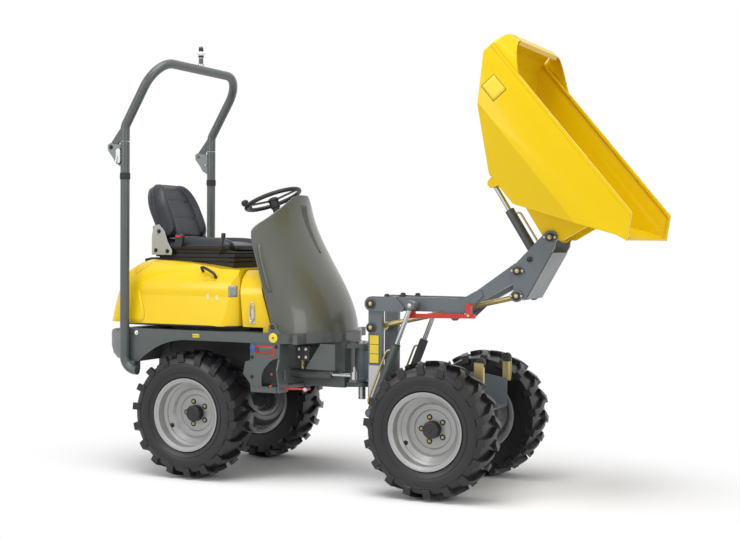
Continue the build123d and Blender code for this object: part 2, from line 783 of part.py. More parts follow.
with BuildPart() as front_chassis:
    with BuildSketch(Plane.XY.offset(base_top - base_thickness)):
        with BuildLine():
            Polyline((mast_rear_x + 10, 135), (mast_rear_x + 10, -135), (rear_axle_x + 1330, -135),
                     (rear_axle_x + 1345, -side_plate_y - side_plate), (frame_front_x,
                                                                        -side_plate_y - side_plate),
                     (frame_front_x, side_plate_y + side_plate), (rear_axle_x + 1345,
                                                                  side_plate_y + side_plate),
                     (rear_axle_x + 1330, 135), close=True)
        make_face()
    extrude(amount=base_thickness)
    for side in (1, -1):
        # mast post with its foot on the base plate
        with BuildSketch(side_plane(side * (mast_inner_y + mast_outer_y) / 2)):
            with BuildLine():
                Polyline(
                    (mast_rear_x, mast_top), (mast_front_x, mast_top), (mast_front_x, 620),
                    (mast_front_x + 70, 540), (rear_axle_x + 1340, 540), (rear_axle_x + 1340, base_top - 2),
                    (mast_rear_x + 30, base_top - 60), (mast_rear_x, 480), close=True,
                )
            make_face()
            with Locations(arm_pivot):
                Circle(pin_radius + pin_play, mode=Mode.SUBTRACT)
        extrude(amount=(mast_outer_y - mast_inner_y) / 2, both=True)
        # keeper disc of the tie rod's pin, and the pin inside the post
        with BuildSketch(side_plane(side * (mast_outer_y - 1))):
            with Locations(tie_pivot):
                Circle(30)
        extrude(amount=-side * 12)
        with BuildSketch(side_plane(side * (tie_y - 17))):
            with Locations(tie_pivot):
                Circle(pin_radius)
        extrude(amount=-side * (mast_outer_y - tie_y + 17))
        # plates beside the arms, ahead of the mast
        with BuildSketch(side_plane(side * (side_plate_y + side_plate / 2))):
            with BuildLine():
                Polyline((rear_axle_x + 1345, base_top - 2), (rear_axle_x + 1345, 600),
                         (rear_axle_x + 1400, 645),
                         (rear_axle_x + 1580, 645), (frame_front_x, 618), (frame_front_x,
                                                                           base_top - 2), close=True)
            make_face()
        extrude(amount=side_plate / 2, both=True)
        with Locations((rear_axle_x + 1337, side * 150, 502)):
            Box(14, 110, 76)
        # lift cylinder's base boss and pin
        with BuildSketch(side_plane(side * (mast_outer_y - 1))):
            with Locations(lift_base):
                Circle(24)
        extrude(amount=-side * (lift_cylinder_y - lift_barrel_radius - seat_gap - mast_outer_y + 1))
        with BuildSketch(side_plane(side * (mast_outer_y - 1))):
            with Locations(lift_base):
                Circle(pin_radius)
        extrude(amount=-side * (lift_cylinder_y + lift_barrel_radius + 6 - mast_outer_y))
    # axle saddle
    axle_box_top = axle_z + axle_box[2] / 2
    with Locations((front_axle_x, 0, (axle_box_top + base_top - base_thickness) / 2)):
        Box(150, axle_box[1], base_top - base_thickness - axle_box_top)
    with Locations((mast_rear_x + 20, 0, 560)):
        Box(24, 2 * mast_inner_y, 200)
    # hub of the centre pivot
    with BuildSketch(Plane.XY.offset(hub_low)):
        with Locations((articulation_x, 0)):
            Circle(44)
    extrude(amount=hub_high - hub_low)
    with Locations(((articulation_x + mast_rear_x + 10) / 2, 0, (hub_low + hub_high) / 2)):
        Box(mast_rear_x + 10 - articulation_x, 70, hub_high - hub_low - 30)
    with BuildSketch(Plane.XY.offset(hub_low - 1)):
        with Locations((articulation_x, 0)):
            Circle(articulation_radius + pin_play)
    extrude(amount=hub_high - hub_low + 2, mode=Mode.SUBTRACT)
    # lug for the steering cylinder on the right
    with BuildSketch(Plane.XY.offset(588)):
        with BuildLine():
            Polyline((articulation_x + 25, -30), (articulation_x + 24, -126), (articulation_x + 6, -148),
                     (articulation_x + 2, -186), (articulation_x + 50, -186), (articulation_x + 70, -100),
                     (mast_rear_x + 5, -100), (mast_rear_x + 5, -30), close=True)
        make_face()
    extrude(amount=14)
save(front_chassis, "front_chassis")

with BuildPart() as skip_rests:
    for side in (1, -1):
        # angle bracket on top of the side plate, with a notch for the buffer
        with BuildSketch(side_plane(side * (rest_y + 20))):
            with BuildLine():
                Polyline((rest[0] - 30, 600), (rest[0] + 20, 600), (rest[0] + 24, 640), (rest[0] + 24, 738),
                         (rest[0] - 30, 742), close=True)
            make_face()
        extrude(amount=3, both=True)
        with Locations((frame_front_x + 3 + seat_gap, side * (rest_y + 3), 660)):
            Box(6, 40, 110)
save(skip_rests, "skip_rests")

with BuildPart() as rest_buffers:
    for side in (1, -1):
        with BuildSketch(side_plane(side * (rest_y - 3))):
            with Locations(rest):
                Circle(rest_radius)
        extrude(amount=19.5, both=True)
save(rest_buffers, "rest_buffers")

# ------------------------------------------------------------------ lift arms
arm_plate_inner = mast_outer_y + 0.5
arm_plate_outer = arm_plate_inner + 15
arm_half_depth = 42
arm_beam_inner = 99
knee = (rear_axle_x + 1545, 1054)

with BuildPart() as lift_arms:
    for side in (1, -1):
        mid_y = side * (arm_beam_inner + arm_plate_inner) / 2
        # boxed boomerang between the link plates
        with BuildSketch(side_plane(mid_y)):
            with BuildLine():
                Polyline(
                    (arm_pivot[0] + 128, 1012), (rear_axle_x + 1508, 1014), (knee[0] + 12, 1002),
                    (head_pivot[0] + 20, head_pivot[1] - arm_half_depth),
                    (head_pivot[0] - 22, head_pivot[1] + arm_half_depth),
                    (rear_axle_x + 1623, 1103), (rear_axle_x + 1560, 1094), (arm_pivot[0] + 128,
                                                                             1094), close=True,
                )
            make_face()
            with Locations(head_pivot):
                Circle(arm_half_depth)
                Circle(pin_radius + pin_play, mode=Mode.SUBTRACT)
        extrude(amount=(arm_plate_inner - arm_beam_inner) / 2, both=True)
        # knee plate over the outer face, with its lower point on the prop's pin
        with BuildSketch(side_plane(side * (arm_plate_inner + 3))):
            with BuildLine():
                Polyline((rear_axle_x + 1478, 1018), (rear_axle_x + 1536, 966), (rear_axle_x + 1560, 968),
                         (rear_axle_x + 1716, 1112), (rear_axle_x + 1700, 1146), (rear_axle_x + 1668, 1136),
                         (rear_axle_x + 1560, 1076), close=True)
            make_face()
        extrude(amount=4, both=True)
        # link plate outside the mast post
        with BuildSketch(side_plane(side * (arm_plate_inner + 7.5))):
            with BuildLine():
                Polyline((arm_pivot[0], 1094), (rear_axle_x + 1175, 1094), (rear_axle_x + 1236, 1030),
                         (rear_axle_x + 1222, 1008), (arm_pivot[0], 1008), close=True)
            make_face()
            with Locations(arm_pivot):
                Circle(43)
        extrude(amount=7.5, both=True)
        # pivot pin with its round keeper, and the pin's other end in the mast post
        with BuildSketch(side_plane(side * arm_plate_outer)):
            with Locations(arm_pivot):
                Circle(30)
        extrude(amount=-side * 7)
        with BuildSketch(side_plane(side * (mast_inner_y + 2))):
            with Locations(arm_pivot):
                Circle(pin_radius)
        extrude(amount=-side * (arm_plate_inner - mast_inner_y))
        # boss that carries the lift cylinder's rod eye
        with BuildSketch(side_plane(side * (arm_plate_inner - 1))):
            with Locations(lift_eye):
                Circle(26)
        extrude(amount=-side * (lift_cylinder_y - rod_eye_half_width - seat_gap - arm_plate_inner + 1))
    # cross tubes
    for place in ((rear_axle_x + 1190, 1056), (rear_axle_x + 1800, 1186)):
        with BuildSketch(Plane.XZ):
            with Locations(place):
                Circle(16)
        extrude(amount=arm_plate_inner - 8, both=True)
save(lift_arms, "lift_arms")

prop_y = 164             # inboard of the lift cylinder
prop_half_width = 12
with BuildPart() as safety_prop:
    with BuildSketch(side_plane(-prop_y)):
        with BuildLine():
            Polyline((rear_axle_x + 1266, 975), (rear_axle_x + 1676, 984), (rear_axle_x + 1676, 1008),
                     (rear_axle_x + 1266, 1000), close=True)
        make_face()
    extrude(amount=prop_half_width, both=True)
    # straps up to the arm; columns: middle x, top, inner face
    for x, top, inner in ((rear_axle_x + 1290, 1022, arm_plate_inner + seat_gap),
                          (rear_axle_x + 1640, 1064, arm_plate_inner + 7 + seat_gap)):
        with Locations((x, -inner, top)):
            Box(26, prop_y + prop_half_width - inner, top - 985, align=(Align.CENTER, Align.MAX, Align.MAX))
save(safety_prop, "safety_prop")

with BuildPart() as tie_rods:
    for side in (1, -1):
        for point in (tie_pivot, head_tie_pivot):
            with BuildSketch(side_plane(side * tie_y)):
                with Locations(point):
                    Circle(26)
                    Circle(pin_radius + pin_play, mode=Mode.SUBTRACT)
            extrude(amount=17, both=True)
        start = Vector(tie_pivot[0] + 24, side * tie_y, tie_pivot[1] + 24 * 0.233)
        end = Vector(head_tie_pivot[0] - 24, side * tie_y, head_tie_pivot[1] - 24 * 0.233)
        with BuildSketch(Plane(origin=start, z_dir=end - start)):
            Circle(13)
        extrude(amount=(end - start).length)
save(tie_rods, "tie_rods")

tip_barrel_radius = 27
head_plate = 15
head_plate_y = arm_plate_inner + seat_gap + head_plate / 2     # outer plates, beside the arms
head_web_y = tip_barrel_radius + seat_gap + 8                   # inner plates, beside the tip cylinder
with BuildPart() as tipping_head:
    for side in (1, -1):
        with BuildSketch(side_plane(side * head_plate_y)):
            with BuildLine():
                Polyline((rear_axle_x + 1884, 1256), (rear_axle_x + 1902, 1120), (rear_axle_x + 1968, 1100),
                         (rear_axle_x + 2134, 1392), (rear_axle_x + 2136, 1470), (rear_axle_x + 2086, 1478),
                         (rear_axle_x + 1908, 1296), close=True)
            make_face()
            with Locations(skip_pivot):
                Circle(38)
            with Locations(head_pivot):
                Circle(42)
        extrude(amount=head_plate / 2, both=True)
        with BuildSketch(side_plane(side * head_web_y)):
            with BuildLine():
                Polyline((rear_axle_x + 1968, 1100), (rear_axle_x + 2110, 1352), (rear_axle_x + 2040, 1352),
                         tip_base, head_tie_pivot, close=True)
            make_face()
            with Locations(tip_base, head_tie_pivot):
                Circle(28)
        extrude(amount=8, both=True)
    # closing plate on the front of the head
    with BuildSketch(side_plane()):
        with BuildLine():
            Polyline((rear_axle_x + 1962, 1104), (rear_axle_x + 1972, 1098), (rear_axle_x + 2120, 1358),
                     (rear_axle_x + 2110, 1364), close=True)
        make_face()
    extrude(amount=head_plate_y, both=True)
    # pins
    for point, half in ((head_pivot, head_plate_y + 10), (head_tie_pivot, tie_y + 17),
                        (tip_base, head_web_y + 4), (skip_pivot, head_plate_y + 10)):
        with BuildSketch(Plane.XZ):
            with Locations(point):
                Circle(pin_radius)
        extrude(amount=half, both=True)
save(tipping_head, "tipping_head")

# ------------------------------------------------------------------ cylinders
gland_length = 20
piston_length = 12


def cylinder_set(name, base, eye, barrel_length, barrel_radius, rod_radius, eye_radius, centre_ys,
                 foot_half_width, eye_half_width, rod_inset, pin_stub):
    """A barrel on its base pin and a rod with its eye, in a side view."""
    run = Vector(eye[0] - base[0], 0, eye[1] - base[1])
    along = run.normalized()
    with BuildPart() as barrel:
        for y in centre_ys:
            foot = Vector(base[0], y, base[1])
            with BuildSketch(side_plane(y)):
                with Locations(base):
                    Circle(barrel_radius)
            extrude(amount=foot_half_width, both=True)
            with BuildSketch(Plane(origin=foot + along * 22, z_dir=along)):
                Circle(barrel_radius)
            extrude(amount=barrel_length - 22)
            with BuildSketch(Plane(origin=foot + along * 34, z_dir=along)):
                Circle(barrel_radius - 6)
            extrude(amount=barrel_length - 34 - gland_length, mode=Mode.SUBTRACT)
            with BuildSketch(Plane(origin=foot + along * (barrel_length - gland_length - 1), z_dir=along)):
                Circle(rod_radius + pin_play)
            extrude(amount=gland_length + 2, mode=Mode.SUBTRACT)
            with BuildSketch(side_plane(y)):
                with Locations(base):
                    Circle(pin_radius + pin_play)
            extrude(amount=100, both=True, mode=Mode.SUBTRACT)
    save(barrel, f"{name}_barrels" if len(centre_ys) > 1 else f"{name}_barrel")
    with BuildPart() as rod:
        for y in centre_ys:
            tip = Vector(eye[0], y, eye[1])
            rod_start = Vector(base[0], y, base[1]) + along * rod_inset
            with BuildSketch(Plane(origin=rod_start, z_dir=along)):
                Circle(rod_radius)
            extrude(amount=(tip - rod_start).length - eye_radius * 0.6)
            with BuildSketch(Plane(origin=rod_start, z_dir=along)):
                Circle(barrel_radius - 6 - seat_gap)
            extrude(amount=piston_length)
            with BuildSketch(side_plane(y)):
                with Locations(eye):
                    Circle(eye_radius)
            extrude(amount=eye_half_width, both=True)
            with BuildSketch(side_plane(y)):
                with Locations(eye):
                    Circle(pin_radius)
            extrude(amount=eye_half_width + pin_stub, both=True)
    save(rod, f"{name}_rods" if len(centre_ys) > 1 else f"{name}_rod")


cylinder_set("lift", lift_base, lift_eye, 430, lift_barrel_radius, 14, 26,
             (lift_cylinder_y, -lift_cylinder_y), lift_barrel_radius, rod_eye_half_width, 232, 0)
cylinder_set("tip", tip_base, tip_eye, 326, tip_barrel_radius, 14, 24, (0,), tip_barrel_radius, 20, 175, 3)

steer_base = (rear_axle_x + 500, -175)
steer_eye = (rear_axle_x + 924, -160)
steer_z = 627
with BuildPart() as steer_barrel:
    with BuildSketch(Plane.XY.offset(steer_z - 18)):
        with Locations(steer_base):
            Circle(24)
    extrude(amount=36)
    steer_run = Vector(steer_eye[0] - steer_base[0], steer_eye[1] - steer_base[1], 0)
    steer_along = steer_run.normalized()
    steer_foot = Vector(steer_base[0], steer_base[1], steer_z)
    with BuildSketch(Plane(origin=steer_foot + steer_along * 18, z_dir=steer_along)):
        Circle(27)
    extrude(amount=262)
    with BuildSketch(Plane(origin=steer_foot + steer_along * 34, z_dir=steer_along)):
        Circle(21)
    extrude(amount=262 - 34 - 12, mode=Mode.SUBTRACT)
    with BuildSketch(Plane(origin=steer_foot + steer_along * 240, z_dir=steer_along)):
        Circle(12 + pin_play)
    extrude(amount=50, mode=Mode.SUBTRACT)
save(steer_barrel, "steer_barrel")

with BuildPart() as steer_rod:
    rod_start = steer_foot + steer_along * 140
    with BuildSketch(Plane(origin=rod_start, z_dir=steer_along)):
        Circle(12)
    extrude(amount=steer_run.length - 140 - 16)
    with BuildSketch(Plane(origin=rod_start, z_dir=steer_along)):
        Circle(21 - seat_gap)
    extrude(amount=16)
    with BuildSketch(Plane.XY.offset(588 + 14 + seat_gap)):
        with Locations(steer_eye):
            Circle(24)
    extrude(amount=steer_z + 20 - 602 - seat_gap)
    with BuildSketch(Plane.XY.offset(steer_z + 10)):
        with Locations(steer_eye):
            Circle(12)
    extrude(amount=40)
save(steer_rod, "steer_rod")

# ----------------------------------------------------------------------- skip
skip_tip_angle = 50          # forward of level, at rest
skip_half_width = 470
skip_wall = 5
t = radians(skip_tip_angle)
skip_side = Plane(origin=(skip_pivot[0], 0, skip_pivot[1]), x_dir=(cos(t), 0, -sin(t)), z_dir=(0, -1, 0))
skip_front = Plane(origin=(skip_pivot[0], 0, skip_pivot[1]), x_dir=(0, 1, 0), z_dir=(cos(t), 0, -sin(t)))

rim_height = 484
guard_height = 574
guard_half_width = 373
# side outline about the pivot, skip level; columns: forward, up
skip_outline = (
    (-947, rim_height),
    (-945, 422),
    (-745, 209),
    (-450, -2),
    (-236, -2),
    (275, 350),
    (337, 376),
    (241, rim_height),
)


def skip_solid(inset=0):
    """The tub as a full block, drawn in by its wall."""
    with BuildPart(mode=Mode.PRIVATE) as block:
        with BuildSketch(skip_side):
            with BuildLine():
                Polyline(*skip_outline, close=True)
            make_face()
            if inset:
                offset(amount=-inset, kind=Kind.INTERSECTION)
        extrude(amount=skip_half_width - inset, both=True)
        with BuildSketch(skip_front):
            h = skip_half_width - inset
            with BuildLine():
                Polyline((-h + 16, rim_height + 200), (-h, 400), (-h + 2, 223), (-h + 130, -20 + inset),
                         (h - 130, -20 + inset), (h - 2, 223), (h, 400), (h - 16,
                                                                          rim_height + 200), close=True)
            make_face()
        extrude(amount=1200, both=True, mode=Mode.INTERSECT)
    return block.part


skip_outer = skip_solid()
skip_inner = skip_solid(skip_wall)
with BuildPart() as skip:
    add(skip_outer)
    add(skip_inner, mode=Mode.SUBTRACT)
    # open mouth: the top between the rims and the front above the lip
    with BuildSketch(skip_side):
        with BuildLine():
            Polyline((-941, rim_height - 6), (-941, rim_height + 60), (420, rim_height + 60), (420, 382),
                     (300, 368), (226, rim_height - 6), close=True)
        make_face()
    extrude(amount=skip_half_width - skip_wall - 10, both=True, mode=Mode.SUBTRACT)
    # spill guard on the rear wall, with curved shoulders and a folded flange
    guard_rear = skip_outline[0][0]
    with BuildSketch(skip_front.offset(guard_rear)):
        with BuildLine():
            half = guard_half_width
            shoulder = skip_half_width - 20
            Line((-shoulder, rim_height - 4), (shoulder, rim_height - 4))
            ThreePointArc((shoulder, rim_height - 4), (half + 26, guard_height - 22),
                          (half - 40, guard_height))
            Line((half - 40, guard_height), (-half + 40, guard_height))
            ThreePointArc((-half + 40, guard_height), (-half - 26, guard_height - 22),
                          (-shoulder, rim_height - 4))
        make_face()
    extrude(amount=skip_wall)
    with BuildSketch(skip_side):
        with BuildLine():
            Polyline((guard_rear, guard_height - 6), (guard_rear, guard_height), (guard_rear + 62,
                                                                                  guard_height + 14),
                     (guard_rear + 70, guard_height - 8), (guard_rear + 64, guard_height - 8),
                     (guard_rear + 58, guard_height + 8), close=True)
        make_face()
    extrude(amount=guard_half_width - 36, both=True)
    # corner gussets inside, from the guard down to the side walls
    for side in (1, -1):
        corner = skip_side.from_local_coords((guard_rear, rim_height - 160, -side * (skip_half_width - 5)))
        with BuildSketch(Plane(origin=corner, x_dir=(0, 1, 0), z_dir=skip_side.x_dir)):
            with BuildLine():
                Polyline((side * 2, 150), (side * 2, -90), (-side * 118, 205))
                ThreePointArc((-side * 118, 205), (-side * 46, 168), (side * 2, 150))
            make_face()
        extrude(amount=4)
    # pivot gussets and the ears of the tip cylinder
    for side in (1, -1):
        with BuildSketch(Plane(origin=(skip_pivot[0], side * 123, skip_pivot[1]), x_dir=skip_side.x_dir,
                               z_dir=(0, -1, 0))):
            with BuildLine():
                Polyline((-300, 0), (-40, -34), (30, -24), (56, 40), (90, 230), (-100, 100), (-236, 2),
                         close=True)
            make_face()
            with Locations((0, 0)):
                Circle(32)
                Circle(pin_radius + pin_play, mode=Mode.SUBTRACT)
        extrude(amount=11, both=True)
        with BuildSketch(Plane(origin=(skip_pivot[0], side * 28, skip_pivot[1]), x_dir=skip_side.x_dir,
                               z_dir=(0, -1, 0))):
            ear = skip_side.to_local_coords(Vector(tip_eye[0], 0, tip_eye[1]))
            with BuildLine():
                Polyline((ear.X - 40, 20), (ear.X - 28, ear.Y), (ear.X + 28, ear.Y), (ear.X + 60, 0),
                         close=True)
            make_face()
            with Locations((ear.X, ear.Y)):
                Circle(28)
        extrude(amount=4.5, both=True)
save(skip, "skip")
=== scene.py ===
"""Looks of the one-tonne high-tip site dumper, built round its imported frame.

Metres, +X forward, +Y to the operator's left, +Z up, as in the frame.
"""
from math import copysign, cos, hypot, pi, radians, sin

import bmesh
import bpy
from mathutils import Matrix, Vector
from mathutils.bvhtree import BVHTree


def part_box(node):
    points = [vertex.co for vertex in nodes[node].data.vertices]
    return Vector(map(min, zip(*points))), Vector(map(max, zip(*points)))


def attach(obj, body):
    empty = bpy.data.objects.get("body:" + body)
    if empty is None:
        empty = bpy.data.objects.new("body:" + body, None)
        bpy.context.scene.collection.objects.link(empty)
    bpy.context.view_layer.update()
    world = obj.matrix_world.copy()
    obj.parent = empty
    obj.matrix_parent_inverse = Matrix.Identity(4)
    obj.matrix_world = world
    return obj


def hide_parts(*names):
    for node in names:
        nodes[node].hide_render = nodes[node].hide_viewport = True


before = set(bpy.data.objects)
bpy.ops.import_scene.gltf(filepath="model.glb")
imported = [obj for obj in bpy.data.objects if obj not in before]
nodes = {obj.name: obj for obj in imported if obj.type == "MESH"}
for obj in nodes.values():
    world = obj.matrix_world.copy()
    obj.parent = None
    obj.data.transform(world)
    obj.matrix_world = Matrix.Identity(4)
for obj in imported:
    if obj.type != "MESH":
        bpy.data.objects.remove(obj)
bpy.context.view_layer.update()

# ---------------------------------------------------------------------- studio
# A pale sweep under a tall softbox, with the camera low on the machine's right,
# a little ahead of square, as a dealer's studio shows it.
scene = bpy.context.scene
scene.view_settings.view_transform = "Standard"

camera_place = Vector((3.3108, -7.2657, 1.4173))
heading, dip, roll = 0.4334, 0.0217, 0.0069
ahead = Vector((-sin(heading) * cos(dip), cos(heading) * cos(dip), -sin(dip)))
across = Vector((cos(heading), sin(heading), 0))
upward = across.cross(ahead)
rolled_across = cos(roll) * across + sin(roll) * upward
rolled_upward = cos(roll) * upward - sin(roll) * across
camera = bpy.data.objects.new("camera", bpy.data.cameras.new("camera"))
scene.collection.objects.link(camera)
camera.data.lens = 65.27
camera.data.sensor_width = 36.0
camera_turn = Matrix((rolled_across, rolled_upward, -ahead)).transposed().to_4x4()
camera.matrix_world = Matrix.Translation(camera_place) @ camera_turn
scene.camera = camera


def place_node(tree, kind, inputs=(), **settings):
    """A shader node with its settings, and its inputs set or linked by name or number."""
    made = tree.nodes.new("ShaderNode" + kind)
    for key, value in settings.items():
        setattr(made, key, value)
    for key, value in dict(inputs).items():
        if isinstance(value, bpy.types.NodeSocket):
            tree.links.new(value, made.inputs[key])
        else:
            made.inputs[key].default_value = value
    return made


def reckon(tree, operation, *values, **settings):
    """The result of a maths node."""
    return place_node(tree, "Math", enumerate(values), operation=operation, **settings).outputs[0]


def stretch(tree, value, from_low, from_high, to_low=0.0, to_high=1.0, **settings):
    """A value stretched from one range to another."""
    ends = {"Value": value, "From Min": from_low, "From Max": from_high, "To Min": to_low, "To Max": to_high}
    return place_node(tree, "MapRange", ends, **settings).outputs[0]


def seen_itself(tree):
    """One where a ray comes from the camera, off a shine or through glass."""
    path = place_node(tree, "LightPath").outputs
    seen = reckon(tree, "MAXIMUM", path["Is Camera Ray"], path["Is Glossy Ray"])
    return reckon(tree, "MAXIMUM", seen, path["Is Transmission Ray"])


for name, lamp_place, aim, size, power in (
        ("overhead_softbox", (0.2, -1.8, 6.5), (0, 0, 0.9), 4.5, 265),
        ("front_softbox", (5.6, -4.0, 3.2), (0.4, 0, 1.0), 2.4, 62),
        ("side_softbox", (-3.4, -6.2, 3.4), (-0.3, 0, 1.0), 2.6, 92)):
    lamp = bpy.data.objects.new(name, bpy.data.lights.new(name, "AREA"))
    lamp.data.size = size
    lamp.data.energy = power
    lamp.location = lamp_place
    lamp.rotation_mode = "QUATERNION"
    lamp.rotation_quaternion = (Vector(aim) - Vector(lamp_place)).to_track_quat("-Z", "Y")
    scene.collection.objects.link(lamp)

world = bpy.data.worlds.new("studio")
scene.world = world
world.use_nodes = True
sky = world.node_tree
backdrop = sky.nodes["Background"]
backdrop.inputs["Color"].default_value = (1, 1, 1, 1)
sky.links.new(stretch(sky, seen_itself(sky), 0.0, 1.0, 0.56, 1.0), backdrop.inputs["Strength"])

floor_reach = 40
floor_corners = [(a * floor_reach, b * floor_reach, 0) for a, b in ((-1, -1), (1, -1), (1, 1), (-1, 1))]
floor_mesh = bpy.data.meshes.new("floor")
floor_mesh.from_pydata(floor_corners, [], [(0, 1, 2, 3)])
floor = bpy.data.objects.new("floor", floor_mesh)
scene.collection.objects.link(floor)
floor_paint = bpy.data.materials.new("floor_paint")
floor_paint.use_nodes = True
sweep = floor_paint.node_tree
sweep_shader = sweep.nodes["Principled BSDF"]
sweep_shader.inputs["Base Color"].default_value = (0.97, 0.97, 0.97, 1)
sweep_shader.inputs["Roughness"].default_value = 0.9
sweep_shader.inputs["Specular IOR Level"].default_value = 0.0
# the sweep turns to white paper outside an oval round the machine
under = place_node(sweep, "NewGeometry").outputs["Position"]
oval = place_node(sweep, "VectorMath", {0: under, 1: (0.62, 0.9, 0.0)}, operation="MULTIPLY")
away = place_node(sweep, "VectorMath", {0: oval.outputs[0]}, operation="LENGTH")
fade = stretch(sweep, away.outputs["Value"], 0.75, 1.75, interpolation_type="SMOOTHSTEP")
white_out = reckon(sweep, "MULTIPLY", seen_itself(sweep), fade)
paper = place_node(sweep, "Emission", {"Color": (1, 1, 1, 1), "Strength": 1.0})
blended = place_node(sweep, "MixShader", {0: white_out, 1: sweep_shader.outputs[0], 2: paper.outputs[0]})
sweep.links.new(blended.outputs[0], sweep.nodes["Material Output"].inputs["Surface"])
floor_mesh.materials.append(floor_paint)

# ---------------------------------------------------------------- rear chassis
# Flat steel bar ring, beams and forks of the rear half, welded and sprayed
# grey-green; the floor plate is laid in the ring, the pivot pin dropped through.
axle_x = (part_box("rear_left_rim")[0].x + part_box("rear_left_rim")[1].x) / 2
right, left = -1, 1
both_sides = (("right", right), ("left", left))


def at(x, y, z):
    """A point given from the rear axle forward."""
    return Vector((axle_x + x, y, z))


worn_finish = bpy.data.node_groups.new("worn_finish", "ShaderNodeTree")
for label, kind, value in (
        ("Colour", "NodeSocketColor", (0.5, 0.5, 0.5, 1)),
        ("Dust Colour", "NodeSocketColor", (0.30, 0.26, 0.20, 1)),
        ("Wear Colour", "NodeSocketColor", (0.25, 0.25, 0.25, 1)),
        ("Dust", "NodeSocketFloat", 0.2),
        ("Wear", "NodeSocketFloat", 0.0),
        ("Mottle", "NodeSocketFloat", 0.1),
        ("Mottle Scale", "NodeSocketFloat", 6.0),
        ("Grain", "NodeSocketFloat", 0.2),
        ("Grain Scale", "NodeSocketFloat", 400.0),
        ("Roughness", "NodeSocketFloat", 0.4)):
    worn_finish.interface.new_socket(name=label, in_out="INPUT", socket_type=kind).default_value = value
for label, kind in (("Colour", "NodeSocketColor"), ("Roughness", "NodeSocketFloat"),
                    ("Height", "NodeSocketFloat")):
    worn_finish.interface.new_socket(name=label, in_out="OUTPUT", socket_type=kind)
given = worn_finish.nodes.new("NodeGroupInput").outputs
taken = worn_finish.nodes.new("NodeGroupOutput").inputs
on_piece = place_node(worn_finish, "TexCoord").outputs["Object"]


def speckle(scale, detail, roughness=0.5):
    """Noise over the piece, for the worn finish."""
    inputs = {"Vector": on_piece, "Scale": scale, "Detail": detail, "Roughness": roughness}
    return place_node(worn_finish, "TexNoise", inputs).outputs[0]


mottle = speckle(given["Mottle Scale"], 4.0)
# dust settles low down, on what lies flat, and in patches
height = place_node(worn_finish, "SeparateXYZ", {0: on_piece}).outputs["Z"]
normal = place_node(worn_finish, "NewGeometry").outputs["Normal"]
facing_up = place_node(worn_finish, "SeparateXYZ", {0: normal}).outputs["Z"]
low_down = stretch(worn_finish, height, 0.1, 1.2, 1.0, 0.12)
lying = stretch(worn_finish, facing_up, -0.2, 1.0, 0.35, 1.0)
patches = stretch(worn_finish, speckle(2.6, 6.0, 0.62), 0.38, 0.72)
dust = reckon(worn_finish, "MULTIPLY", low_down, lying)
dust = reckon(worn_finish, "MULTIPLY", dust, patches)
dust = reckon(worn_finish, "MULTIPLY", dust, given["Dust"])
shade = reckon(worn_finish, "SUBTRACT", 1.0, reckon(worn_finish, "MULTIPLY", given["Mottle"], mottle))
mottled = place_node(worn_finish, "VectorMath", {0: given["Colour"], "Scale": shade}, operation="SCALE")
chips = reckon(worn_finish, "MULTIPLY", stretch(worn_finish, speckle(44.0, 7.0, 0.6), 0.665, 0.70),
               given["Wear"])
worn = place_node(worn_finish, "Mix", {0: chips, 6: mottled.outputs[0], 7: given["Wear Colour"]},
                  data_type="RGBA")
dusted = place_node(worn_finish, "Mix", {0: dust, 6: worn.outputs[2], 7: given["Dust Colour"]},
                    data_type="RGBA")
rougher = reckon(worn_finish, "ADD", stretch(worn_finish, mottle, 0.0, 1.0, -0.05, 0.09), given["Roughness"])
rougher = reckon(worn_finish, "MULTIPLY_ADD", dust, 0.5, rougher, use_clamp=True)
relief = reckon(worn_finish, "MULTIPLY", speckle(given["Grain Scale"], 2.0), given["Grain"])
relief = reckon(worn_finish, "MULTIPLY_ADD", chips, -0.4, relief)
worn_finish.links.new(dusted.outputs[2], taken["Colour"])
worn_finish.links.new(rougher, taken["Roughness"])
worn_finish.links.new(relief, taken["Height"])


def make_finish(name, colour, roughness, metallic=0.0, coat=0.0, bump=0.0004, specular=0.5, **values):
    """A material whose colour, roughness and relief come from the worn finish."""
    material = bpy.data.materials.new(name)
    material.use_nodes = True
    tree = material.node_tree
    shader = tree.nodes["Principled BSDF"]
    shader.inputs["Metallic"].default_value = metallic
    shader.inputs["Coat Weight"].default_value = coat
    shader.inputs["Coat Roughness"].default_value = 0.08
    shader.inputs["Specular IOR Level"].default_value = specular
    wear = tree.nodes.new("ShaderNodeGroup")
    wear.node_tree = worn_finish
    wear.inputs["Colour"].default_value = (*colour, 1)
    wear.inputs["Roughness"].default_value = roughness
    for key, value in values.items():
        socket = wear.inputs[key.replace("_", " ").title()]
        socket.default_value = (*value, 1) if isinstance(value, tuple) else value
    tree.links.new(wear.outputs["Colour"], shader.inputs["Base Color"])
    tree.links.new(wear.outputs["Roughness"], shader.inputs["Roughness"])
    relief = place_node(tree, "Bump", {"Height": wear.outputs["Height"], "Distance": bump, "Strength": 1.0})
    tree.links.new(relief.outputs[0], shader.inputs["Normal"])
    return material


def paint(material, *names):
    """Gives CAD nodes this material in every slot that they have."""
    for name in names:
        mesh = nodes[name]
        if not mesh.material_slots:
            mesh.data.materials.append(material)
        for slot in mesh.material_slots:
            slot.material = material


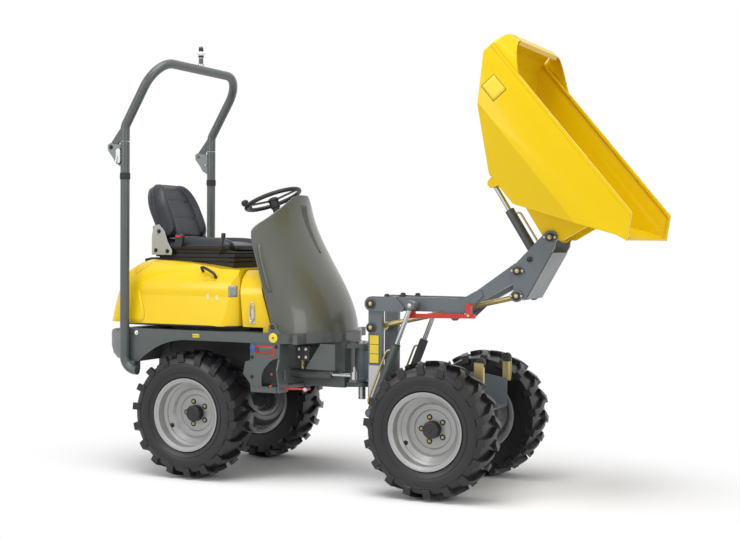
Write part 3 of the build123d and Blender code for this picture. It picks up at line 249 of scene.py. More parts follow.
frame_paint = make_finish("frame_paint", (0.075, 0.090, 0.090), 0.36, coat=0.25, dust=0.20, mottle=0.22,
                          grain=0.5, grain_scale=260.0, wear=0.35, wear_colour=(0.16, 0.16, 0.15))
floor_steel = make_finish("floor_steel", (0.07, 0.08, 0.08), 0.5, dust=0.6, mottle=0.3, grain=0.7,
                          grain_scale=90.0, wear=0.6)
bare_steel = make_finish("bare_steel", (0.50, 0.50, 0.50), 0.30, metallic=1.0, dust=0.1, mottle=0.15)
paint(frame_paint, "rear_chassis")
paint(floor_steel, "floor_plate")
paint(bare_steel, "articulation_pin")


def put_mesh(name, points, faces, body, material, bevel=0.0, smooth=False, sharp=None):
    """A new piece riding on its body; sharp smooths it but for edges over that many degrees."""
    mesh = bpy.data.meshes.new(name)
    mesh.from_pydata([tuple(point) for point in points], [], faces)
    mesh.validate()
    made = bpy.data.objects.new(name, mesh)
    scene.collection.objects.link(made)
    mesh.materials.append(material)
    for face in mesh.polygons:
        face.use_smooth = smooth or sharp is not None
    if sharp is not None:
        mesh.set_sharp_from_angle(angle=radians(sharp))
    if bevel:
        rounding = made.modifiers.new("rounded_edges", "BEVEL")
        rounding.width = bevel
        rounding.segments = 2
        rounding.limit_method = "ANGLE"
        rounding.angle_limit = radians(35)
    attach(made, body)
    return made


# each view places (across, up, depth), and says which way round a plate's faces run
views = {"side": (lambda a, b, c: at(a, c, b), False), "plan": (lambda a, b, c: at(a, b, c), True)}


def cut_plate(name, view, outline, low, high, body, material, bevel=0.001):
    """A plate cut to an outline in one of the views, between two depths."""
    spot, turned_round = views[view]
    n = len(outline)
    points = [spot(a, b, depth) for depth in (low, high) for a, b in outline]
    area = sum(outline[k - 1][0] * outline[k][1] - outline[k][0] * outline[k - 1][1] for k in range(n))
    faces = [tuple(range(n - 1, -1, -1)), tuple(range(n, 2 * n))]
    faces += [(k, (k + 1) % n, n + (k + 1) % n, n + k) for k in range(n)]
    if (area > 0) != ((high > low) == turned_round):
        faces = [face[::-1] for face in faces]
    return put_mesh(name, points, faces, body, material, bevel)


def add_turned(points, faces, centre, axis, profile, steps):
    """Adds one turned solid to a mesh; the profile gives (radius, along)."""
    axis = Vector(axis).normalized()
    side = axis.orthogonal().normalized()
    other = axis.cross(side)
    start = len(points)
    for radius, along in profile:
        for k in range(steps):
            turn = 2 * pi * k / steps
            points.append(centre + axis * along + (side * cos(turn) + other * sin(turn)) * radius)
    end = len(points) - steps
    for ring in range(start, end, steps):
        for k in range(steps):
            a, b = ring + k, ring + (k + 1) % steps
            faces.append((a, b, b + steps, a + steps))
    faces.append(tuple(range(start + steps - 1, start - 1, -1)))
    faces.append(tuple(range(end, end + steps)))


def turn_piece(name, rows, body, material):
    """Turned pieces in one mesh; each row gives a centre, an axis and a profile."""
    points, faces = [], []
    for centre, axis, profile in rows:
        add_turned(points, faces, centre, axis, profile, 28)
    put_mesh(name, points, faces, body, material, sharp=38)


def drive_bolts(name, rows, body, material):
    """Hexagon bolts with washers in one mesh; each row gives a seat, an outward axis and a size."""
    points, faces = [], []
    for seat, axis, size in rows:
        for steps, profile in ((16, ((1.3, 0.0), (1.3, 0.16), (1.22, 0.2))),
                               (6, ((1.0, 0.2), (1.0, 0.72), (0.84, 0.84))),
                               (10, ((0.5, 0.84), (0.5, 1.06), (0.4, 1.14)))):
            sized = [(radius * size, along * size) for radius, along in profile]
            add_turned(points, faces, seat, axis, sized, steps)
    put_mesh(name, points, faces, body, material)


def on_face(sign, y, spots, shape):
    """Rows for turned pieces or bolts, at (x, z) spots on a face that looks right or left."""
    return [(at(x, sign * y, z), (0, sign, 0), shape) for x, z in spots]


def on_both(y, spots, shape):
    """The same rows on the right and on the left."""
    return on_face(right, y, spots, shape) + on_face(left, y, spots, shape)


def bend_rod(name, route, radius, body, material, closed=False):
    """A round rod or pipe bent along a route."""
    curve = bpy.data.curves.new(name, "CURVE")
    curve.dimensions = "3D"
    curve.bevel_depth = radius
    curve.bevel_resolution = 5
    curve.use_fill_caps = not closed
    spline = curve.splines.new("NURBS")
    spline.points.add(len(route) - 1)
    for point, spot in zip(spline.points, route):
        point.co = (*spot, 1)
    spline.order_u = 3
    spline.use_endpoint_u = not closed
    spline.use_cyclic_u = closed
    spline.resolution_u = 8
    made = bpy.data.objects.new(name, curve)
    scene.collection.objects.link(made)
    curve.materials.append(material)
    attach(made, body)


shells = {}


def touch(node, spot, towards=None):
    """The spot on a node's surface met along a direction, or nearest where none is given or met."""
    if node not in shells:
        mesh = nodes[node].data
        shells[node] = BVHTree.FromPolygons([v.co for v in mesh.vertices],
                                           [p.vertices for p in mesh.polygons])
    met = towards and shells[node].ray_cast(spot - towards * 0.6, towards, 1.6)[0]
    return met or shells[node].find_nearest(spot)[0]


def net_faces(rows, cols):
    """Four-cornered faces over a net of spots laid row by row."""
    stride = cols + 1
    return [(a, a + 1, a + stride + 1, a + stride)
            for row in range(rows) for a in range(row * stride, row * stride + cols)]


def lay_on(name, node, corners, towards, lift, body, material, steps=4):
    """A thin label laid on a node's surface, between four corners seen along a direction."""
    towards = Vector(towards).normalized()
    points = []
    for i in range(steps + 1):
        for j in range(steps + 1):
            u, v = i / steps, j / steps
            near = corners[0] * (1 - u) + corners[1] * u
            far = corners[3] * (1 - u) + corners[2] * u
            points.append(touch(node, near * (1 - v) + far * v, towards) - towards * lift)
    count = len(points)
    points += [point + towards * (lift + 0.0006) for point in points]
    faces = net_faces(steps, steps)
    faces += [tuple(count + k for k in reversed(face)) for face in faces]
    stride, last = steps + 1, steps * (steps + 1)
    rim = [*range(steps), *range(steps, last, stride), *range(last + steps, last, -1),
           *range(last, 0, -stride)]
    faces += [(a, count + a, count + b, b) for a, b in zip(rim, rim[1:] + rim[:1])]
    put_mesh(name, points, faces, body, material, smooth=True)


def label_side(name, node, sign, span, lift, body, material, steps=4):
    """A label laid on a node from the right or left, over a span from low to high (x, z)."""
    x0, z0, x1, z1 = span
    corners = [at(x, sign * 0.5, z) for x, z in ((x0, z0), (x1, z0), (x1, z1), (x0, z1))]
    lay_on(name, node, corners, (0, -sign, 0), lift, body, material, steps)


label_yellow = make_finish("label_yellow", (0.82, 0.62, 0.03), 0.45, dust=0.1, mottle=0.08)
label_black = make_finish("label_black", (0.012, 0.012, 0.012), 0.5, dust=0.1, mottle=0.08)
label_white = make_finish("label_white", (0.72, 0.73, 0.72), 0.45, dust=0.15, mottle=0.08)
label_red = make_finish("label_red", (0.62, 0.02, 0.015), 0.42, dust=0.1, mottle=0.08)
black_bolt = make_finish("black_bolt", (0.03, 0.03, 0.032), 0.38, metallic=0.6, dust=0.15, mottle=0.2)
gold_zinc = make_finish("gold_zinc", (0.66, 0.54, 0.24), 0.36, metallic=0.7, dust=0.10, mottle=0.35,
                        mottle_scale=18.0)
label_side("rail_label", "rear_chassis", right, (0.000, 0.835, 0.048, 0.856), 0.0008,
           "rear_frame", label_yellow)
label_side("rail_label_line", "rear_chassis", right, (0.003, 0.844, 0.045, 0.847), 0.0012, "rear_frame",
           label_black)
rail_face = abs(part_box("rear_chassis")[0].y)
eye_spot = [(0.548, 0.852)]
turn_piece("lifting_eye_discs",
           on_both(rail_face, eye_spot, [(0.028, 0.0), (0.028, 0.0012), (0.026, 0.0018)]),
           "rear_frame", label_yellow)
turn_piece("lifting_eye_marks",
           on_both(rail_face + 0.0018, eye_spot, [(0.006, 0.0), (0.006, 0.0008), (0.005, 0.0010)]),
           "rear_frame", label_black)

# ----------------------------------------------------------------------- axles
# Cast centre and welded housings, sprayed with the frame before the wheels go
# on; eight bolts hold each hub reducer to its flange.
axle_height, wheelbase = 0.380, 1.530
axles = (("rear", 0.0), ("front", wheelbase))
paint(frame_paint, "rear_axle", "front_axle")


def bolt_circle(x, y, radius, count, start=0.0):
    """Spots evenly round an axle, on a circle that faces sideways."""
    turns = [2 * pi * k / count + start for k in range(count)]
    return [at(x + radius * cos(turn), y, axle_height + radius * sin(turn)) for turn in turns]


for end, x in axles:
    flange_bolts = [(spot, (0, -sign, 0), 0.008) for sign in (right, left)
                    for spot in bolt_circle(x, sign * 0.382, 0.068, 8)]
    drive_bolts(f"{end}_axle_bolts", flange_bolts, f"{end}_frame", black_bolt)

# ---------------------------------------------------------------------- wheels
# Lugged tyres on pressed steel rims sprayed silver; five studs hold each rim
# to its hub, under a black cap.
tyre_rubber = make_finish("tyre_rubber", (0.007, 0.007, 0.009), 0.34, dust=0.07, mottle=0.3, mottle_scale=9.0,
                          grain=0.6, grain_scale=120.0, bump=0.0006, specular=0.55,
                          dust_colour=(0.09, 0.085, 0.08))
rim_silver = make_finish("rim_silver", (0.37, 0.375, 0.37), 0.34, metallic=0.35, dust=0.16, mottle=0.08,
                         grain=0.3, grain_scale=500.0, coat=0.2)
# near black, for discs laid on the rim: painted shade inside its stud recesses and its valve hole
painted_hole_shade = make_finish("painted_hole_shade", (0.006, 0.006, 0.006), 0.7, dust=0.05)
cap_black = make_finish("cap_black", (0.012, 0.012, 0.013), 0.35, dust=0.12, mottle=0.2)
rim_disc, tyre_middle = 0.415, 0.432
# raised rings on the sidewall: radius, and out from the tyre's middle
sidewall_rings = (
    ((0.2475, 0.121), (0.2480, 0.1275), (0.2505, 0.1290), (0.2530, 0.1285), (0.2540, 0.123)),
    ((0.3020, 0.124), (0.3025, 0.1310), (0.3050, 0.1318), (0.3075, 0.1305), (0.3085, 0.124)))


def add_sidewall_ring(points, faces, centre, sign, profile, steps=72):
    """Adds a raised ring, closed round its profile, to a tyre's outer side."""
    start, whole = len(points), len(profile) * steps
    for radius, out in profile:
        for k in range(steps):
            turn = 2 * pi * k / steps
            points.append(centre + Vector((radius * cos(turn), sign * out, radius * sin(turn))))
    for ring in range(0, whole, steps):
        for k in range(steps):
            after, outer = (k + 1) % steps, (ring + steps) % whole
            a, b, c, d = (start + corner for corner in (ring + k, ring + after, outer + after, outer + k))
            faces.append((a, d, c, b) if sign > 0 else (a, b, c, d))


for end, x in axles:
    for side, sign in both_sides:
        wheel = f"{end}_{side}"
        body = f"{wheel}_wheel"
        out = Vector((0, sign, 0))
        paint(tyre_rubber, f"{wheel}_tyre")
        paint(rim_silver, f"{wheel}_rim")
        studs = bolt_circle(x, sign * rim_disc, 0.070, 5, pi)
        # painted shade: a black disc on the rim round each stud, where its pressed recess is
        turn_piece(f"{wheel}_stud_hole_shades",
                   [(spot, out, [(0.0165, 0.0), (0.0165, 0.0016), (0.0145, 0.0024)]) for spot in studs],
                   body, painted_hole_shade)
        drive_bolts(f"{wheel}_studs", [(spot + out * 0.0024, out, 0.0068) for spot in studs], body, gold_zinc)
        turn_piece(f"{wheel}_hub_cap", on_face(sign, rim_disc + 0.001, [(x, axle_height)], [
            (0.0490, 0.0), (0.0490, 0.038), (0.046, 0.043), (0.036, 0.045), (0.034, 0.0435), (0.012, 0.044),
            (0.009, 0.047)]), body, cap_black)
        points, faces = [], []
        for profile in sidewall_rings:
            add_sidewall_ring(points, faces, at(x, sign * tyre_middle, axle_height), sign, profile)
        put_mesh(f"{wheel}_sidewall_rings", points, faces, body, tyre_rubber, smooth=True)
        valve = touch(f"{wheel}_rim", at(x - 0.148, sign * 0.5, axle_height - 0.080), -out)
        # painted shade: a black disc on the rim where the valve hole is
        turn_piece(f"{wheel}_valve_hole_shade",
                   [(valve, (0.45, sign, 0.25), [(0.013, -0.004), (0.013, 0.003), (0.010, 0.005)])],
                   body, painted_hole_shade)
        turn_piece(f"{wheel}_valve", [(valve, (0.55, sign, 0.30), [
            (0.007, 0.0), (0.006, 0.014), (0.0045, 0.016), (0.0045, 0.034), (0.003, 0.036)])],
                   body, cap_black)

# --------------------------------------------------------------- counterweight
# A cast iron slab under the tail, bolted to the end of the chassis ring and
# sprayed mid grey over the rough casting.
cast_grey = make_finish("cast_grey", (0.22, 0.23, 0.24), 0.5, dust=0.2, mottle=0.25, mottle_scale=12.0,
                        grain=1.0, grain_scale=120.0, bump=0.0007)
paint(cast_grey, "counterweight")


def mirror_back(line):
    """A line's points across the middle, from its end back to its start."""
    return [Vector((point.x, -point.y, point.z)) for point in reversed(line)]


def give_wall(skin, thickness, offset=-1.0, even=False):
    """Thickens a skin into a wall, inwards unless told otherwise."""
    wall = skin.modifiers.new("wall", "SOLIDIFY")
    wall.thickness = thickness
    wall.offset = offset
    wall.use_even_offset = even


def wrap_tail(name, rows, body, material, wall=0.0):
    """A tail's shape, solid or a skin with a wall; rows give height, half width, rear, corner and front."""
    points, faces = [], []
    corner_steps = 9
    for z, half, rear, corner, front in rows:
        line = [at(front, -half, z), at((front + rear + corner) / 2, -half, z)]
        for k in range(corner_steps + 1):
            turn = pi / 2 * k / corner_steps
            line.append(at(rear + corner - corner * sin(turn), -half + corner - corner * cos(turn), z))
        line += [at(rear, (-half + corner) * (1 - k / 4), z) for k in range(1, 4)]
        points += line + [at(rear, 0, z)] + mirror_back(line)
    n = len(points) // len(rows)
    for row in range(len(rows) - 1):
        for k in range(n - 1 if wall else n):
            a, b = row * n + k, row * n + (k + 1) % n
            faces.append((a, a + n, b + n, b))
    if not wall:
        faces.append(tuple(range(n)))
    faces.append(tuple(range(len(points) - 1, len(points) - n - 1, -1)))
    made = put_mesh(name, points, faces, body, material, sharp=40)
    if wall:
        made.modifiers.new("smoothed", "SUBSURF").levels = 1
        give_wall(made, wall)


wrap_tail("tail_casting", (
    (0.664, 0.360, -0.560, 0.100, -0.468), (0.668, 0.390, -0.590, 0.100, -0.468),
    (0.684, 0.418, -0.617, 0.095, -0.468), (0.715, 0.434, -0.633, 0.090, -0.468),
    (0.760, 0.440, -0.640, 0.085, -0.468), (0.842, 0.440, -0.642, 0.085, -0.468),
    (0.857, 0.437, -0.639, 0.085, -0.468), (0.8635, 0.428, -0.630, 0.085, -0.468)), "rear_frame", cast_grey)

# ---------------------------------------------------------------------- engine
# The engine and its drive are one plain block under the hood, sprayed black
# and bolted down inside the chassis ring.
engine_black = make_finish("engine_black", (0.035, 0.037, 0.04), 0.5, dust=0.4, mottle=0.3, grain=0.6)
paint(engine_black, "engine")

# ----------------------------------------------------------------------- steps
# Folded steel steps with a toothed tread, bolted under the platform each side;
# red and blue caps and a framed plate mark the service points.
paint(frame_paint, "steps")
port_blue = make_finish("port_blue", (0.02, 0.10, 0.34), 0.35, dust=0.1)
step_face = 0.4605
for side, sign in both_sides:
    label_side(f"{side}_step_label_edge", "steps", sign, (0.432, 0.757, 0.544, 0.803), 0.0008, "rear_frame",
               label_red)
    label_side(f"{side}_step_label", "steps", sign, (0.439, 0.765, 0.537, 0.795), 0.0012, "rear_frame",
               frame_paint)
    turn_piece(f"{side}_test_port",
               on_face(sign, step_face, [(0.410, 0.787)], [(0.019, 0.0), (0.019, 0.003), (0.017, 0.004)]),
               "rear_frame", port_blue)
    drive_bolts(f"{side}_step_bolts",
                on_face(sign, 0.460, [(0.405, 0.735), (0.565, 0.800), (0.405, 0.620)], 0.008),
                "rear_frame", black_bolt)
    turn_piece(f"{side}_step_plugs",
               on_face(sign, step_face, [(0.546, 0.748), (0.537, 0.640), (0.530, 0.570)],
                       [(0.0075, 0.0), (0.0075, 0.004), (0.004, 0.006)]), "rear_frame", label_red)

# ------------------------------------------------------------------------ hood
# Thick yellow moulding with its colour all through, hinged at the tail; it
# carries the seat. The handle is a black bent bar screwed to the shoulder.
hood_yellow = make_finish("hood_yellow", (0.84, 0.565, 0.003), 0.24, specular=0.3, dust=0.06, mottle=0.05,
                          mottle_scale=3.0, grain=0.15, grain_scale=700.0, coat=0.28)
black_plastic = make_finish("black_plastic", (0.014, 0.014, 0.015), 0.45, dust=0.15, mottle=0.15, grain=0.5,
                            grain_scale=900.0)
hood_plate_grey = make_finish("hood_plate_grey", (0.26, 0.28, 0.31), 0.35, metallic=0.4, dust=0.1)
paint(hood_yellow, "hood")
wrap_tail("hood_tail", (
    (0.912, 0.4475, -0.629, 0.078, -0.341), (1.020, 0.4370, -0.617, 0.088, -0.374),
    (1.110, 0.4265, -0.601, 0.100, -0.406), (1.180, 0.4110, -0.582, 0.120, -0.436),
    (1.228, 0.3880, -0.561, 0.140, -0.464), (1.262, 0.3500, -0.536, 0.160, -0.462),
    (1.284, 0.2980, -0.508, 0.150, -0.436), (1.2935, 0.2330, -0.478, 0.060, -0.402),
    (1.2945, 0.2100, -0.465, 0.050, -0.398)), "hood", hood_yellow, wall=0.003)
handle_route = ((0.022, 0.378, 1.222), (0.020, 0.400, 1.246), (0.024, 0.402, 1.256), (0.074, 0.412, 1.240),
                (0.124, 0.420, 1.214), (0.128, 0.422, 1.200), (0.126, 0.402, 1.190))
for side, sign in both_sides:
    bend_rod(f"{side}_hood_handle", [at(x, sign * y, z) for x, y, z in handle_route], 0.0085, "hood",
             black_plastic)
    # painted highlights: small white marks on the hood side where two drain dents catch the light
    for k, (x, z) in enumerate(((0.080, 1.077), (0.142, 1.073))):
        label_side(f"{side}_drain_dent_highlight_{k}", "hood", sign,
                   (x - 0.006, z - 0.015, x + 0.006, z + 0.015), 0.0009,
                   "hood", label_white)
    for k in range(4):
        x = 0.034 + 0.024 * k
        label_side(f"{side}_handle_flute_{k}", "hood", sign, (x, 1.176, x + 0.011, 1.206), 0.0022, "hood",
                   hood_yellow, 5)
    label_side(f"{side}_hood_plate", "hood", sign, (0.222, 1.080, 0.266, 1.146), 0.0010, "hood",
               hood_plate_grey, 5)
bend_rod("hood_seal", [at(x, y, 0.9035) for x, y in (
    (0.294, 0.30), (0.297, 0.0), (0.294, -0.30), (0.285, -0.375), (0.240, -0.425), (0.160, -0.441),
    (0.0, -0.442),
    (-0.30, -0.442), (-0.450, -0.441), (-0.545, -0.41), (-0.592, -0.32), (-0.596, 0.0), (-0.592, 0.32),
    (-0.545, 0.41), (-0.450, 0.441), (-0.30, 0.442), (0.0, 0.442), (0.160, 0.441), (0.240, 0.425),
    (0.285, 0.375))],
         0.006, "hood", black_plastic, closed=True)

# ----------------------------------------------------------------- front cover
# The same moulding ahead of the hood, held down by a bright steel over-centre
# latch screwed to each side.
paint(hood_yellow, "front_cover")
latch_steel = make_finish("latch_steel", (0.62, 0.62, 0.60), 0.25, metallic=1.0, dust=0.08, mottle=0.15)
cover_face = 0.4005
# the latch's bow: forward, out from the cover, up
bow_route = ((0.358, 0.010, 1.040), (0.356, 0.012, 0.96), (0.371, 0.013, 0.935), (0.386, 0.012, 0.96),
             (0.384, 0.010, 1.040), (0.371, 0.012, 1.056))
for side, sign in both_sides:
    cut_plate(f"{side}_latch_plate", "side", [(0.352, 0.925), (0.390, 0.925), (0.386, 1.035), (0.360, 1.035)],
              sign * cover_face, sign * (cover_face + 0.003), "rear_frame", latch_steel)
    bend_rod(f"{side}_latch_bow", [at(x, sign * (cover_face + out), z) for x, out, z in bow_route], 0.003,
             "rear_frame", latch_steel, closed=True)
    drive_bolts(f"{side}_latch_screws",
                on_face(sign, cover_face + 0.003, [(0.371, 0.935), (0.371, 1.020)], 0.006),
                "rear_frame", gold_zinc)

# ------------------------------------------------------------------- seat base
# Ribbed rubber bellows over the sprung seat frame, with pressed side plates
# that carry the back.
black_rubber = make_finish("black_rubber", (0.012, 0.012, 0.013), 0.6, dust=0.2, mottle=0.2, grain=0.6,
                           grain_scale=500.0)
seat_grey = make_finish("seat_grey", (0.42, 0.42, 0.38), 0.4, dust=0.12, mottle=0.12)
paint(black_rubber, "seat_base")
plate_face = 0.2376
for side, sign in both_sides:
    cut_plate(f"{side}_seat_plate", "side",
              [(-0.446, 1.322), (-0.300, 1.322), (-0.296, 1.350), (-0.330, 1.405), (-0.352, 1.470),
               (-0.392, 1.512),
               (-0.430, 1.505), (-0.446, 1.440)],
              sign * (plate_face - 0.004), sign * plate_face, "hood", seat_grey, 0.0015)
    drive_bolts(f"{side}_seat_bolts",
                on_face(sign, plate_face, [(-0.392, 1.468), (-0.330, 1.345), (-0.415, 1.350)], 0.010),
                "hood", black_bolt)
bend_rod("seat_slide_lever", [at(0.020, -0.205, 1.335), at(0.055, -0.235, 1.350), at(0.075, -0.250, 1.390),
                              at(0.080, -0.252, 1.430)], 0.006, "hood", black_plastic)
turn_piece("seat_lever_grip", [(at(0.080, -0.252, 1.425), (0.1, 0, 1),
                                [(0.009, 0.0), (0.013, 0.008), (0.014, 0.026), (0.010, 0.034)])],
           "hood", black_plastic)

# --------------------------------------------------------------- seat cushions
# Black vinyl over moulded foam: raised bolsters down both sides, sewn seams
# between them and the flat middle, and piping round the edge.
seat_vinyl = make_finish("seat_vinyl", (0.010, 0.013, 0.020), 0.34, dust=0.06, mottle=0.2, grain=1.0,
                         grain_scale=520.0, bump=0.0006)
seat_thread = make_finish("seat_thread", (0.05, 0.052, 0.055), 0.6, dust=0.0)


def pad_height(u, v, depth):
    """How far the pad stands up at a spot, u across and v along, both from -1 to 1."""
    edge = max(0.0, 1 - abs(u) ** 6) ** 0.5 * max(0.0, 1 - abs(v) ** 6) ** 0.5
    bolster = 0.62 * depth / (1 + (abs(abs(u) - 0.80) / 0.15) ** 4)
    crown = 0.16 * depth * (1 - u * u * 0.6) * (1 - v * v)
    seam = -0.13 * depth / (1 + (abs(abs(u) - 0.60) / 0.022) ** 4)
    channel = -0.10 * depth * sum(1 / (1 + (abs(v - row) / 0.025) ** 4) for row in (-0.33, 0.33))
    return edge * (depth * 0.62 + bolster + crown + seam + channel * (abs(u) < 0.60))


def round_corners(u, v):
    """A spot on the square pad drawn in, so that its four corners are round."""
    straight, curved = 0.72, 0.28
    beyond = hypot(max(0.0, abs(u) - straight) / curved, max(0.0, abs(v) - straight) / curved)
    pull = 1 / max(1.0, beyond)
    return [t if abs(t) <= straight else copysign(straight + (abs(t) - straight) * pull, t) for t in (u, v)]


def stuff_pad(name, node, middle, along_axis, up_axis, length, half_width, depth, back, top_round):
    """A sewn pad in place of its CAD node: its long way is along_axis and its face looks up_axis."""
    cols, rows = 56, 44
    across_axis = Vector((0, 1, 0))

    def spot(u, v, rise):
        taper = 1 - top_round * max(0.0, v) ** 2
        return middle + along_axis * v * length / 2 + across_axis * u * half_width * taper + up_axis * rise

    face_points, back_points = [], []
    for j in range(rows + 1):
        for i in range(cols + 1):
            u, v = 2 * i / cols - 1, 2 * j / rows - 1
            hollow = (max(0, 1 - abs(u) ** 8) * max(0, 1 - abs(v) ** 8)) ** 0.5
            drawn_in = round_corners(u, v)
            face_points.append(spot(*drawn_in, pad_height(u, v, depth)))
            back_points.append(spot(*drawn_in, -back * hollow))
    faces = net_faces(rows, cols)
    faces += [tuple(len(face_points) + k for k in reversed(face)) for face in faces]
    pad = put_mesh(name, face_points + back_points, faces, "hood", seat_vinyl, smooth=True)
    sewn = bmesh.new()
    sewn.from_mesh(pad.data)
    bmesh.ops.remove_doubles(sewn, verts=sewn.verts, dist=0.0004)
    bmesh.ops.recalc_face_normals(sewn, faces=sewn.faces)
    sewn.to_mesh(pad.data)
    sewn.free()
    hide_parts(node)
    edge = []
    for k in range(64):
        u, v = cos(2 * pi * k / 64), sin(2 * pi * k / 64)
        grow = 0.985 / max(abs(u), abs(v))
        edge.append(spot(*round_corners(u * grow, v * grow), depth * 0.22))
    bend_rod(f"{name}_piping", edge, 0.0042, "hood", seat_vinyl, closed=True)
    for side, sign in both_sides:
        u = sign * 0.60
        seam_along = [-0.86 + 1.72 * k / 20 for k in range(21)]
        bend_rod(f"{name}_{side}_seam", [spot(u, v, pad_height(u, v, depth) + 0.0006) for v in seam_along],
                 0.0012, "hood", seat_thread)


stuff_pad("seat_cushion_pad", "seat_cushion", at(-0.152, 0, 1.367), Vector((1, 0, 0)), Vector((0, 0, 1)),
          0.525, 0.232, 0.054, 0.010, 0.05)
pan_edge = [(-0.400, -0.200), (-0.370, -0.222), (0.050, -0.222), (0.100, -0.190), (0.112, -0.100)]
cut_plate("seat_pan", "plan", pan_edge + [(x, -y) for x, y in reversed(pan_edge)], 1.3565, 1.372, "hood",
          black_plastic, 0.004)
back_lean, back_faces = Vector((-0.155, 0, 0.335)).normalized(), Vector((0.335, 0, 0.155)).normalized()
stuff_pad("seat_back_pad", "seat_back", at(-0.434, 0, 1.588), back_lean, back_faces,
          0.375, 0.232, 0.070, 0.052, 0.40)
belt_grey = make_finish("belt_grey", (0.10, 0.085, 0.10), 0.7, dust=0.05, mottle=0.15, grain=1.0,
                        grain_scale=900.0)
belt_steps = 24
belt_points = []
for k in range(belt_steps + 1):
    u = -1 + 2 * k / belt_steps
    belt_points += [at(-0.292 + 0.012 * u + across_web, 0.226 * u, 1.420 + 0.014 * (1 - u * u) + up)
                    for across_web, up in ((-0.024, 0.004), (0.024, -0.001), (0.024, 0.001), (-0.024, 0.006))]
belt_faces = [(4 * k + i, 4 * k + (i + 1) % 4, 4 * k + 4 + (i + 1) % 4, 4 * k + 4 + i)
              for k in range(belt_steps) for i in range(4)]
belt_faces += [(3, 2, 1, 0), tuple(range(4 * belt_steps, 4 * belt_steps + 4))]
put_mesh("lap_belt", belt_points, belt_faces, "hood", belt_grey, smooth=True)
cut_plate("belt_buckle", "side", [(-0.262, 1.372), (-0.212, 1.372), (-0.200, 1.440), (-0.222, 1.456),
                                  (-0.258, 1.452)], -0.262, -0.238, "hood", black_plastic, 0.004)
cut_plate("belt_button", "side", [(-0.254, 1.430), (-0.216, 1.432), (-0.214, 1.446), (-0.252, 1.444)],
          -0.2645, -0.2600, "hood", label_red, 0.002)

# --------------------------------------------------------------- control cowl
# A grey moulded shield on the platform, open to the operator, with a beaded
# rear edge and a grab bar down each side.
cowl_grey = make_finish("cowl_grey", (0.078, 0.083, 0.066), 0.30, dust=0.0, mottle=0.07, mottle_scale=3.0,
                        grain=0.3, grain_scale=600.0, coat=0.35)
cowl_shadow = make_finish("cowl_shadow", (0.050, 0.054, 0.044), 0.5, dust=0.1, mottle=0.1)
paint(cowl_grey, "control_cowl")
# up the side wall's edge, as forward, half width and height; then over the top
bead = [at(x, -half, z) for x, half, z in (
    (0.540, 0.436, 0.885), (0.501, 0.427, 1.000), (0.447, 0.416, 1.166), (0.409, 0.406, 1.280),
    (0.372, 0.396, 1.390))]
bead += [touch("control_cowl", at(0.340, y, z + 0.01)) for y, z in (
    (-0.372, 1.457), (-0.338, 1.508), (-0.280, 1.563), (-0.210, 1.612), (-0.145, 1.650), (-0.090, 1.678),
    (-0.060, 1.692))]
bend_rod("cowl_bead", bead + mirror_back(bead), 0.0065, "rear_frame", cowl_grey)
# forward, height, and how far the bar stands off the wall
bar_route = ((0.497, 1.120, -0.004), (0.492, 1.130, 0.010), (0.478, 1.170, 0.012), (0.450, 1.250, 0.012),
             (0.420, 1.340, 0.012), (0.408, 1.378, 0.010), (0.404, 1.388, -0.004))
for side, sign in both_sides:
    inward = Vector((0, -sign, 0))
    bend_rod(f"{side}_cowl_bar", [touch("control_cowl", at(x, sign * 0.45, z), inward) - inward * stand_off
                                  for x, z, stand_off in bar_route], 0.0100, "rear_frame", cowl_grey)
# painted shade: a darker sheet laid on the cowl's front face where its narrow recess is
recess = [at(0.9, -0.036, 1.630), at(0.9, 0.036, 1.630), at(0.9, 0.012, 1.340), at(0.9, -0.012, 1.340)]
lay_on("cowl_recess_shade", "control_cowl", recess, (-1, 0, 0), 0.0008, "rear_frame", cowl_shadow, 14)

# ------------------------------------------------------------ column and wheel
# Black moulded column and a soft-grip steering wheel, with a horn button in
# its boss and a spinner knob bolted through the ring.
paint(black_plastic, "steering_column", "steering_wheel")
wheel_rake = radians(22)
wheel_middle = at(0.284, 0, 1.668)
wheel_axis = Vector((-sin(wheel_rake), 0, cos(wheel_rake)))
turn_piece("horn_button", [(wheel_middle, wheel_axis, [
    (0.034, -0.012), (0.036, -0.004), (0.032, 0.004), (0.020, 0.010), (0.008, 0.012)])],
           "steering_wheel", black_plastic)
ring_radius = 0.172
knob_foot = wheel_middle + Vector((-0.927, 0, -0.375)) * 0.94 * ring_radius + Vector((0, -0.058, 0))
turn_piece("spinner_knob", [(knob_foot, wheel_axis, [
    (0.009, 0.0), (0.009, 0.022), (0.019, 0.026), (0.023, 0.036), (0.022, 0.050), (0.014, 0.058),
    (0.005, 0.060)])], "steering_wheel", black_plastic)

